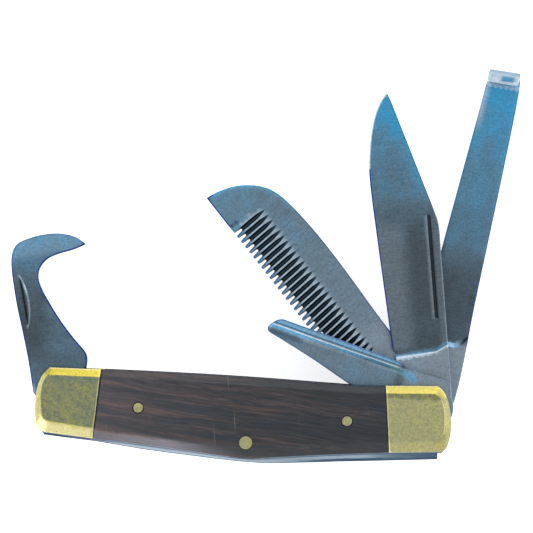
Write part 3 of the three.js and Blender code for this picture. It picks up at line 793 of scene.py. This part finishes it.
def tool(node, look, material, outline, face, back, lines, marks, place=None, **settings):
    """A tool of blade steel on its own body, with the hole for its pivot pin."""
    hole = arc(PIVOT_HOLE_R, 0, 360, step=0.4)[:-1]
    place = place or tool_place(node)
    made = relief(f"{node}_{look}", outline, face, back, place, [hole], lines, marks=marks, **settings)
    stand_in(made, node, TOOLS[node][0], material)


def bevel_cut(points, line, width, depth):
    """How far a bevel along part of the edge lowers the face."""
    return depth * unit(1 - from_line(points, line) / width)


def near(points, line, width):
    """1 on the line, falling to 0 at that distance from it."""
    return unit(1 - from_line(points, line) / width)


def hoof_hook(material):
    t = thickness_of("hoof_hook")
    mouth = spline([(34.15, -12.2), (33.42, -9), (33.05, -5.5), (32.5, -3), (31.75, -1.6), (30.9, -0.65),
                    (29.8, 0.15), (28.2, 0.6), (26.3, 0.48), (24, -0.12)])
    front = spline([(24, -0.12), (20, -1.6), (16, -3.3), (12, -5.34), (9.6, -6.78)])
    heel = spline([(9.6, -6.78), (8.3, -7.5), (7.1, -7.86), (5.6, -7.7), (4.0, -7.15)])
    outline = loop(
        spline([(0.5, 6.75), (5, 6.62), (10, 6.6), (16, 6.78), (22, 7.02), (28, 6.96), (31.5, 6.76),
                (33.9, 6.35), (35.8, 5.6), (37.3, 4.2), (38.1, 1.3), (38.4, -2), (38.15, -5.6),
                (37.3, -8.5), (36.2, -10.5), (34.4, -12.3)]),
        mouth,
        front,
        heel,
        arc(TANG_R, -62, -265),
    )
    inner = np.vstack([mouth, front, heel])
    # The nail nick is a half-moon: a straight upper edge over an arc.
    nick_u, nick_half, nick_top, nick_low = 23.0, 7.0, 5.2, 3.72

    def nick_arc(u):
        return nick_low + (nick_top - nick_low) * ((u - nick_u) / nick_half) ** 2

    def nick(points):
        """Height above the arc and below the upper edge; both are positive in the nick."""
        above = points[:, 1] - nick_arc(points[:, 0])
        below = nick_top - points[:, 1]
        return above, below, (above > 0) & (below > 0)

    def face(points):
        above, below, cut = nick(points)
        depth = 0.45 * unit(below / 0.12) * unit(above / 1.1)
        return (
            t - np.where(cut, depth, 0) - bevel_cut(points, mouth, 0.42, 0.3)
            - bevel_cut(points, front, 0.25, 0.12)
        )

    def marks(points):
        # Painted light: a highlight along the nick's arc, brightest at one spot, painted shade inside the
        # nick, a lighter tang corner and tip, and dark edge lines of painted shade, darkest along the
        # mouth's bevel.
        u, v = points.T
        above, below, cut = nick(points)
        cast = np.interp(u, [3, 8, 13, 22, 31, 36], [0.42, 0.25, 0.0, 0.05, 0.55, 0.85])
        cast = cast + 0.3 * smooth(v, 2.0, -1.5) * smooth(u, 24, 20) * smooth(u, 7, 11)
        spot = near(points, [(25.6, 4.1), (26.3, 4.3)], 1.2)
        crescent_highlight = unit(above / 0.06) * smooth(above, 0.6, 0.3) * (0.28 + 0.4 * spot)
        dark = smooth(above, 0.35, 0.6) * smooth(below, 0.75, 0.3)
        tone = np.where(cut, crescent_highlight - 0.55 * dark, 0)
        corner = near(points, [(0.5, 6.6), (1.8, 6.6)], 0.9)
        inside_edge = from_line(points, inner) < 0.7
        tone = tone + 0.6 * corner + 0.16 * smooth(u, 32, 35)
        return cast, tone, np.where(inside_edge, -1, np.where(v > 5, -0.55, -0.3))

    stations = np.linspace(nick_u - nick_half, nick_u + nick_half, 40)
    arcs = [np.stack([stations, nick_arc(stations) + lift], 1) for lift in (0, 0.06, 0.4, 0.6)]
    lines = [a[a[:, 1] < nick_top - 0.14] for a in arcs[1:]] + [arcs[0]]
    for drop in (0, 0.05, 0.12):
        reach = nick_half * math.sqrt(1 - drop / (nick_top - nick_low))
        row = nick_top - drop
        lines.append([(nick_u - reach, row), (nick_u + reach, row)])
    tool("hoof_hook", "blade", material, outline, face, flat, lines, marks)


# Across the punch's spine, from below its ridge line to above it: blueness and lightness, painted as the
# spine's highlight lines, its lines of painted shade and a blue band of painted shade.
PUNCH_LEVELS = [
    -2.6, -1.4, -1.25, -0.9, -0.8, -0.2, -0.14, 0.14, 0.18, 0.24, 0.27, 0.36, 0.4, 0.62, 0.68, 1.9,
]
PUNCH_CAST = [0.45, 0.45, 0.45, 0.45, 1.0, 1.0, 0.5, 0.5, 0.4, 0.4, 0.5, 0.5, 0.9, 0.9, 0.95, 0.85]
PUNCH_TONE = [0.12, 0.12, 0.3, 0.3, 0.12, 0.12, 1.0, 1.0, -0.6, -0.6, 0.35, 0.35, -0.55, -0.55, 0.3, 0.2]
BLUE_SWEEP = [(9.4, 6.5), (8, 6.45), (6.4, 6.1), (5.3, 5.5)]  # a painted cyan highlight at the punch's root


def leather_punch(material):
    t = thickness_of("leather_punch")
    outline = loop(
        [(-1.4, 7.65), (7.0, 7.65)],
        spline([(7.0, 7.65), (8.4, 8.05), (9.6, 8.6), (11.4, 8.85)]),
        [(23.5, 9.5), (39.2, 10.22)],
        spline([(39.2, 10.22), (40.6, 10.25), (41.7, 9.8), (42.4, 9.2), (43.3, 8.1), (43.65, 7.3),
                (43.3, 6.45), (42.4, 6.05), (41.1, 5.74)]),
        [(35, 4.17), (30, 2.8), (20.1, -0.3), (9, -3.5), (7.4, -4.3)],
        arc(TANG_R, -45, -222),
        spline([(-4.7, 4.3), (-4.1, 6.0), (-3.35, 7.1), (-2.4, 7.6), (-1.4, 7.65)]),
    )
    ridge = np.array([
        (4.4, 5.6), (7.8, 7.1), (9.2, 7.28), (12.55, 7.4), (20, 7.62), (30, 7.97), (40, 8.45), (42.3, 8.5),
    ])
    foot = ridge + np.array([
        (0.6, -0.9), (0.3, -1), (0.2, -1), (0, -1), (0, -1), (0, -1), (0, -0.95), (0, -0.8),
    ])

    def level(points, line):
        return points[:, 1] - np.interp(points[:, 0], line[:, 0], line[:, 1])

    def web(points, depth):
        down = unit(-level(points, ridge))
        return depth * down * smooth(points[:, 0], 4.4, 9.5)

    def face(points):
        groove = unit(1 - np.abs(level(points, ridge) - 0.51) / 0.11) * 0.06
        groove = groove * smooth(points[:, 0], 7.5, 11)
        dish = 0.2 * unit(1 - ((level(points, foot) + 1.2) / 1.2) ** 2)
        return t - web(points, 0.24 * t) - groove - dish * smooth(points[:, 0], 26, 38)

    def back(points):
        return web(points - np.array([0, 1.0]), 0.2 * t)

    def marks(points):
        # Painted light: the spine's bands, a cyan highlight sweeping round the root, painted shade in the
        # trough near the tip, and dark edge lines of painted shade; the tang is lighter.
        u, v = points.T
        high = level(points, ridge)
        along = smooth(u, 8.2, 10.5)
        cast = np.interp(high, PUNCH_LEVELS, PUNCH_CAST) * along
        tone = np.interp(high, PUNCH_LEVELS, PUNCH_TONE) * along
        root_highlight = smooth(from_line(points, BLUE_SWEEP), 1.15, 0.6)
        trough_shade = near(points, [(34, 6.3), (42, 6.9)], 1.0) * smooth(u, 33, 37)
        tang = 1 - smooth(u, 6.5, 9.5)
        cast = np.maximum(cast, 0.95 * root_highlight) + 0.1 * tang
        tone = tone * (1 - root_highlight) - 0.5 * trough_shade + 0.3 * tang * (1 - root_highlight) + 0.2 * root_highlight
        return cast, tone, np.where(u < 8, -0.2, np.where(v > 7, -0.5, -0.35))

    shifts = [-0.9, -0.8, -0.2, -0.14, 0, 0.14, 0.18, 0.24, 0.27, 0.36, 0.4, 0.51, 0.62, 0.68]
    lines = [ridge + np.array((0, shift)) for shift in shifts] + [foot]
    tool("leather_punch", "blade", material, outline, face, back, lines, marks)


def knife_blade(material):
    t = thickness_of("knife_blade")
    tip_edge = spline([(78.6, -3.9), (77.6, -4.9), (76, -6.0), (73.8, -7.1), (70.9, -8.1), (66.6, -9.05),
                       (61.5, -9.7), (57.2, -9.85), (52, -9.68)])
    edge_line = np.vstack([tip_edge, spline([(52, -9.68), (39.1, -8.93), (24, -8.0), (15.2, -7.45)])])
    clip_edge = [(50.5, 4.92), (76.5, -3.05), (78.6, -3.9)]
    outline = loop(
        [(0, TANG_R), (38, 6.4)],
        spline([(38, 6.4), (43, 6.45), (45.6, 6.28), (47.8, 5.72), (50.5, 4.92)]),
        clip_edge,
        edge_line,
        spline([(15.2, -7.45), (14.4, -7.1), (13.8, -6.7), (13.0, -7.0), (12.0, -7.0)]),
        [(8.0, -6.8), (6.0, -5.4)],
        arc(TANG_R, -48, -270),
    )
    back_v, edge_v, edge_t = 5.3, -9.85, 0.35
    plunge = np.array([(12.3, -7.5), (12.35, -6.6), (13.3, 3.3), (14.6, 5.9)])
    nick_from, nick_to, nick_v, nick_half, nick_depth = 21.5, 47.7, 4.05, 0.34, 0.4

    def grind(points):
        """How much of the grind each point has, from the spine and past the plunge."""
        start = np.interp(points[:, 1], plunge[:, 1], plunge[:, 0])
        run = np.interp(points[:, 1], [-7, 5], [1.5, 0.35])
        down = unit((back_v - points[:, 1]) / (back_v - edge_v))
        taper = 0.4 * smooth(points[:, 0], 52, 79)
        cut = (t - edge_t) / 2 * (down**0.92 + taper * (1 - down))
        return cut * smooth((points[:, 0] - start) / run)

    def nick(points):
        across = np.abs(points[:, 1] - nick_v)
        within = unit((nick_half - across) / 0.12)
        ends = np.minimum(points[:, 0] - nick_from, nick_to - points[:, 0])
        return within * unit(ends / 0.5)

    def face(points):
        cut = nick(points) * nick_depth
        return t - grind(points) - cut - bevel_cut(points, edge_line, 0.5, 0.11)

    def back(points):
        return grind(points) + bevel_cut(points, edge_line, 0.5, 0.11)

    def marks(points):
        u, v = points.T
        start = np.interp(v, plunge[:, 1], plunge[:, 0])
        past = u - start
        line_half = np.interp(v, [-7, 4], [0.2, 0.1])
        plunge_highlight = smooth(np.abs(past - 0.2), line_half + 0.15, line_half)
        band = smooth(past, 0.3, 0.45) * smooth(past, 1.5, 1.0) * (1 - plunge_highlight)
        ricasso = smooth(past, 0.2, 0.0)
        spine = smooth(v, 4.6, 4.95) * smooth(past, 0.6, 0.9) * (1 - smooth(u, 42, 47))
        under_nick_highlight = smooth(np.abs(v - 3.55), 0.15, 0.05) * (u > nick_from) * (u < nick_to)
        clipped = near(points, clip_edge, 3.2) * smooth(u, 47, 54)
        # cast adds a painted blue reflection band just past the plunge
        cast = np.interp(u, [40, 52, 66, 74], [0, 0.45, 0.7, 1.0]) + 0.35 * clipped + 0.7 * band
        cast = cast + 0.3 * ricasso * smooth(v, 1, -2)
        choil_shade = near(points, [(12.4, -6.9), (15.3, -8.1)], 0.4)
        body = smooth(past, 1, 3) * smooth(u, 50, 40) * smooth(v, 0, -5)
        # tone: a lighter ricasso and body, painted highlights on the plunge line, the spine's edge and
        # under the nick, and painted shade in the nick and at the choil
        tone = 0.34 * ricasso + 0.95 * plunge_highlight + 0.09 * spine + 0.25 * under_nick_highlight + 0.14 * body
        slot = (np.abs(v - nick_v) < nick_half + 0.01) * (u > nick_from) * (u < nick_to)
        tone = tone - 0.75 * slot - 1.2 * choil_shade
        # rim: a painted highlight along the cutting edge near the tip, dark lines of painted shade along
        # the rest of that edge and the clip, a faint painted highlight along the spine, and painted shade
        # on the tang's edge
        rim = np.where(v < -4, np.where(u > 60, 0.9, -0.8), np.where(u > 49, -0.3, 0.1))
        return np.clip(cast, 0, 1.1), tone, np.where(u < 14, -0.2, rim * smooth(u, 14, 16))

    run = [(u + np.interp(v, [-7, 5], [1.5, 0.35]), v) for u, v in plunge]
    shifted = [plunge + np.array((by, 0)) for by in (0.1, 0.25, 0.45, 0.7)]
    rows = [nick_v + s * h for s in (-1, 1) for h in (nick_half, nick_half - 0.12)] + [3.55, 4.6, 4.95]
    lines = [plunge, run, *shifted, [(14.9, back_v), (50.0, back_v)]]
    lines += [[(nick_from, row), (nick_to, row)] for row in rows]
    lines += [[(u, nick_v - nick_half), (u, nick_v + nick_half)]
              for u in (nick_from - 0.05, nick_from + 0.5, nick_to - 0.5, nick_to + 0.05)]
    tool("knife_blade", "ground", material, outline, face, back, lines, marks)


COMB_TOOTH_V = -10.95
COMB_PITCH = 1.62
COMB_GROOVES = 28
COMB_FIRST_U = 63.45  # where the outermost groove runs out on the face
COMB_INNER_V = -1.3
COMB_LEAN_DEG = (2.2, 5.0)  # of the first and the last groove
COMB_T = 1.7
COMB_THROUGH = 2.15  # length of each gap that is open right through


def groove_u(index, v):
    """The middle of a groove at height v."""
    lean_deg = np.interp(index, [0, COMB_GROOVES - 1], COMB_LEAN_DEG)
    return COMB_FIRST_U - index * COMB_PITCH + (v - COMB_INNER_V) * np.tan(np.radians(lean_deg))


def mane_comb(material):
    t = thickness_of("mane_comb")
    curved = spline([(59.5, 4.68), (63.2, 4.1), (66.4, 3.02), (69.1, 1.15), (71.5, -1.55), (73.15, -4.5),
                     (74.25, -7.9), (74.7, COMB_TOOTH_V + 0.1)])
    teeth = [(74.5, COMB_TOOTH_V)]
    mouth_half, root_half, tip_r = 0.4, 0.18, 0.22
    root_v = COMB_TOOTH_V + COMB_THROUGH
    for i in range(COMB_GROOVES):
        u, root_u = groove_u(i, COMB_TOOTH_V), groove_u(i, root_v)
        teeth += [
            (u + mouth_half + tip_r, COMB_TOOTH_V), (u + mouth_half, COMB_TOOTH_V + tip_r),
            (root_u + root_half, root_v - 0.15), (root_u, root_v),
            (root_u - root_half, root_v - 0.15),
            (u - mouth_half, COMB_TOOTH_V + tip_r), (u - mouth_half - tip_r, COMB_TOOTH_V),
        ]
    outline = loop(
        [(0, TANG_R)],
        spline([(4, 5.9), (12, 4.75), (24, 4.6), (37, 5.1), (45, 5.28), (52.5, 5.17), (59.5, 4.68)]),
        curved,
        teeth,
        spline([(17.4, COMB_TOOTH_V), (16.6, -9.8), (15, -8.3), (12, -6.9)]),
        [(8.0, -6.6), (6.0, -5.3)],
        arc(TANG_R, -48, -270),
    )
    per_mm = COMB_T / (COMB_INNER_V - COMB_TOOTH_V - COMB_THROUGH)
    stations = [COMB_TOOTH_V - 1, COMB_INNER_V - 2.7, COMB_INNER_V - 0.7, COMB_INNER_V]
    half_top, half_floor = [0.62, 0.6, 0.34, 0.05], [0.26, 0.14, 0.06, 0.02]
    dark_in = 0.1  # the painted shade of a groove starts so far inside its edge

    def from_groove(points):
        """Distance from the middle of the nearest groove, towards the tip where it is positive."""
        off = points[:, :1] - groove_u(np.arange(COMB_GROOVES), points[:, 1:])
        return off[np.arange(len(off)), np.abs(off).argmin(1)]

    def groove(points):
        """Depth of the tooth gaps."""
        v = points[:, 1]
        top, floor = (np.interp(v, stations, halves) for halves in (half_top, half_floor))
        depth = np.clip((COMB_INNER_V - v) * per_mm, 0, COMB_T - 0.25)
        return depth * unit((top - np.abs(from_groove(points))) / (top - floor))

    def face(points):
        u = points[:, 0]
        blade = t + (COMB_T - t) * unit((u - 14.5) / 1.5)
        return blade - groove(points) - bevel_cut(points, curved, 0.55, 0.2)

    def marks(points):
        u, v = points.T
        off = from_groove(points)
        top = np.interp(v, stations, half_top)
        toothed = (u > 18.5) & (u < 65) & (v < COMB_INNER_V + 0.1)
        # Painted shade on the groove floors, deepest on their tipward side, painted highlights on the
        # ridges, a dark edge line of painted shade on one side of each tooth, and dark edge lines past the
        # teeth and along the back.
        dark = toothed * smooth(top - np.abs(off), 0.0, dark_in)
        ridge = (u > 17) * (u < 64.2) * smooth(v, COMB_INNER_V + 0.4, COMB_INNER_V - 1.6) * (1 - dark)
        tooth = ridge * smooth(v, -8.2, -9.2)
        shaded_tooth_side = tooth * (off < 0)
        band = near(points, curved, 1.0)
        cast = np.interp(u, [12, 20, 26, 60, 74], [0.0, 0.05, 0.42, 0.48, 0.66]) + 0.5 * band
        cast = cast + 0.3 * tooth
        tone = np.interp(u, [13, 20, 27, 60], [0.43, 0.42, 0.17, 0.08]) * (1 - dark)
        tone = tone + 0.5 * ridge * (1 - tooth) - 0.7 * dark * smooth(off, -0.75, 0.2) - 0.25 * dark
        notch = near(points, [(65.3, -10.6), (65.35, -8.8)], 0.45)
        spot = near(points, [(64.6, -5.1), (64.6, -5.3)], 0.6)
        beyond = (u > 65.5) & (v < -9)
        rim = np.where(beyond, -0.9, np.where(v > 0, -0.4, 0)) * (u > 14) - 0.7 * shaded_tooth_side
        return cast, tone - 0.8 * notch + 0.5 * spot, rim

    lines = [[(14.5, -12), (14.5, 8)], [(16, -12), (16, 8)]]
    heights = np.array([
        COMB_TOOTH_V + 0.15, root_v, COMB_INNER_V - 2.7, COMB_INNER_V - 0.7, COMB_INNER_V - 0.02,
    ])
    for i in range(COMB_GROOVES):
        for side in (-1, 1):
            for halves, inwards in ((half_top, 0), (half_top, dark_in), (half_floor, 0)):
                half = np.interp(heights, stations, halves) - inwards
                line = np.stack([groove_u(i, heights) + side * half, heights], 1)
                lines.append(line[half > 0.01])
    tool("mane_comb", "toothed", material, outline, face, flat, lines, marks, rounding=0.1)


CURL_U = 84.1
CURL_R = 2.0
CURL_T = 0.85
CURL_END_DEG = 139
CURL_SKEW = math.tan(math.radians(4.5))
STRIP_T = 1.1
STRIP_TANG_T = 1.98


def hoof_knife(material):
    """The strip is laid out flat with its curl unrolled, and rolled up as it is placed."""
    end_u = CURL_U + CURL_R * math.radians(90 + CURL_END_DEG)
    back_edge = spline([(3, 6.6), (8, 6.75), (16, 6.55), (27, 6.13), (40, 5.83), (55, 5.53), (70, 5.15),
                        (80, 4.78), (84.2, 4.36)])
    front_edge = spline([(84.4, -3.85), (78, -3.96), (70, -4.22), (58, -4.63), (43, -5.12), (30, -5.45),
                         (14, -5.75), (6, -5.3)])
    outline = loop(
        [(0.8, 6.25)],
        back_edge,
        [(86.5, 3.97), (end_u - 0.3, 3.9), (end_u, 3.65), (end_u, -3.6), (end_u - 0.3, -3.85)],
        front_edge,
        arc(TANG_R, -60, -262),
    )
    plunge = np.array([(15.9, -6.5), (15.9, 3.2), (16.6, 4.7), (18.6, 6.2)])

    def face(points):
        u, v = points.T
        start = np.interp(v, plunge[:, 1], plunge[:, 0])
        level = STRIP_TANG_T + (STRIP_T - STRIP_TANG_T) * smooth((u - start) / 1.1)
        level = level + (CURL_T - STRIP_T) * smooth(u, CURL_U - 1.5, CURL_U)
        dish = 0.12 * unit(1 - (v / 3.6) ** 2) * smooth(u, 20, 34) * (1 - smooth(u, 74, 82))
        return level - dish - bevel_cut(points, back_edge, 0.5, 0.14) * smooth(u, 17, 22)

    flat_place = tool_place("hoof_knife")

    def place(own):
        rolled = own.copy()
        turn = np.clip((own[:, 0] - CURL_U) / CURL_R, 0, None)
        on_curl = turn > 0
        radius = CURL_R - own[:, 2]
        skew = own[:, 1] * CURL_SKEW * smooth(own[:, 0], CURL_U - 5, CURL_U)
        rolled[:, 0] = np.where(on_curl, CURL_U + radius * np.sin(turn), own[:, 0]) + skew
        rolled[:, 2] = np.where(on_curl, CURL_R - radius * np.cos(turn), own[:, 2])
        return flat_place(rolled)

    def marks(points):
        u, v = points.T
        # Painted light: a cyan highlight along the plunge step, a pale convex curl with a dark blue painted
        # reflection patch on it, painted shade at the lip's end, a painted highlight line on the blade just
        # under the lip, and dark edge lines of painted shade.
        start = np.interp(v, plunge[:, 1], plunge[:, 0])
        cast = np.interp(u, [16, 34, 42, 55, 65, 74, 80], [0.1, 0.12, 0.58, 0.68, 0.8, 0.88, 1.0])
        step = smooth(np.abs(u - start - 0.5), 0.9, 0.4) * smooth(v, 1.2, 2.0) * smooth(v, 5.4, 4.6)
        tone = 0.35 * smooth(u, start, start - 0.4) + 0.25 * step
        low = smooth(u, 68, 76) * smooth(v, -2.2, -3.6) * (u < CURL_U + 1)
        curl = smooth(u, CURL_U + 1.0, CURL_U + 2.5)
        reflection_patch = smooth(u, 89.6, 90.2) * smooth(u, 91.5, 91.0) * smooth(np.abs(v - 1.0), 2.0, 1.2)
        lip_shade = smooth(u, end_u - 0.7, end_u - 0.3)
        tone = tone + 0.5 * low + curl * (np.interp(u, [89.3, 90.1], [0.2, 1.0]) - 0.95 * reflection_patch - 0.3 * lip_shade)
        rim = np.where(v > 0, -0.6, -0.2) * (u > 17) * (1 - curl)
        # a painted highlight line on the blade just under the lip
        tone = tone + 0.62 * smooth(np.abs(u - 82.4), 0.6, 0.3)
        return cast + 0.9 * step - 0.5 * curl * (1 - reflection_patch), tone, rim

    run = plunge + np.array([1.1, 0])
    across = [[(u, -6), (u, 7)] for u in np.arange(CURL_U - 1.5, end_u, 0.35)]
    # the back of the strip carries the front's painted light, and half its edge lines
    tool("hoof_knife", "curled", material, outline, face, flat, [plunge, run, *across], marks,
         place, rounding=0.1, back_share={"mark": 1, "tone": 1, "rim": 0.5})


# ---- the studio

AIM = (3.915, 34.02, 18.7)
CAMERA_DISTANCE = 800
FIELD_WIDTH = 130.96  # of the view, at the front face's height
CAMERA_ROLL_DEG = 2.83
CAMERA_TILT_DEG = 1.0
SENSOR = 36


def camera():
    """Looks almost straight down on the front face."""
    tilt = Matrix.Rotation(math.radians(CAMERA_TILT_DEG), 4, "X")
    roll = Matrix.Rotation(math.radians(CAMERA_ROLL_DEG), 4, "Z")
    data = bpy.data.cameras.new("camera")
    data.sensor_width = SENSOR
    data.lens = SENSOR * CAMERA_DISTANCE / FIELD_WIDTH
    data.clip_start, data.clip_end = 0.01, 20
    made = linked("camera", data)
    place = Vector(AIM) + tilt @ Vector((0, 0, CAMERA_DISTANCE))
    made.matrix_world = Matrix.Translation(place * MM) @ tilt @ roll
    bpy.context.scene.camera = made


def softbox(name, place, aim, size, power):
    data = bpy.data.lights.new(name, "AREA")
    data.shape = "RECTANGLE"
    data.size, data.size_y = size
    data.energy = power
    made = linked(name, data)
    made.location = place
    made.rotation_euler = (Vector(aim) - Vector(place)).to_track_quat("-Z", "Y").to_euler()


def sky():
    """A soft even surround, a little dimmer and cooler overhead than round the sides."""
    world = bpy.data.worlds.new("studio")
    bpy.context.scene.world = world
    s = Shader(world)
    height = s.node("SeparateXYZ", {0: s.node("TexCoord")}, out=2)
    shade = s.ramp(height, [(0.0, (0.66, 0.68, 0.7, 1)), (0.9, (0.55, 0.6, 0.64, 1))])
    s.output("OutputWorld", s.node("Background", {"Color": shade, "Strength": 1.15}))


def floor():
    """A wide pale sheet just under the back face."""
    span, drop = 3.0, 0.0001
    mesh = bpy.data.meshes.new("floor")
    corners = [(-span, -span, -drop), (span, -span, -drop), (span, span, -drop), (-span, span, -drop)]
    mesh.from_pydata(corners, [], [(0, 1, 2, 3)])
    s = Shader(bpy.data.materials.new("pale_paper"))
    fleck = s.noise(s.place(), 0.05, 2.0)
    colour = s.mix(fleck, (0.9, 0.9, 0.9, 1), (0.94, 0.94, 0.94, 1))
    mesh.materials.append(s.finish(
        Base_Color=colour, Roughness=0.9, Emission_Color=(1, 1, 1, 1), Emission_Strength=0.7))
    made = linked("floor", mesh)


def studio():
    camera()
    sky()
    floor()
    softbox("left_light", (-0.5, -0.45, 0.22), (0, 0, 0), (0.5, 0.35), 3.5)
    softbox("top_light", (0.1, 0.65, 0.25), (0, 0.03, 0), (0.8, 0.3), 1.2)
    softbox("right_light", (0.6, 0.1, 0.3), (0, 0.03, 0), (0.4, 0.4), 1.2)
    bpy.context.scene.view_settings.view_transform = "Standard"


# ---- the whole object


def build():
    wood, metal = rosewood(), brass()
    blade, spring = blade_steel(), spring_steel()
    for side in ("front", "back"):
        cover(side, "scale", wood)
        cover(side, "left_bolster", metal)
        cover(side, "right_bolster", metal)
        for end, centre in SCALE_PINS.items():
            pin(f"{side}_{end}_scale_pin", centre, SCALE_PIN_R, metal)
    pin("rocker_pin", ROCKER, ROCKER_PIN_R, metal)
    pin("hook_pivot_pin", PIVOT["left"], PIVOT_PIN_R, spring)
    pin("tool_pivot_pin", PIVOT["right"], PIVOT_PIN_R, spring)
    for node in LINERS + SPRINGS:
        flat_stock(node, spring)
    hoof_hook(blade)
    leather_punch(blade)
    knife_blade(blade)
    mane_comb(blade)
    hoof_knife(blade)


build()
studio()
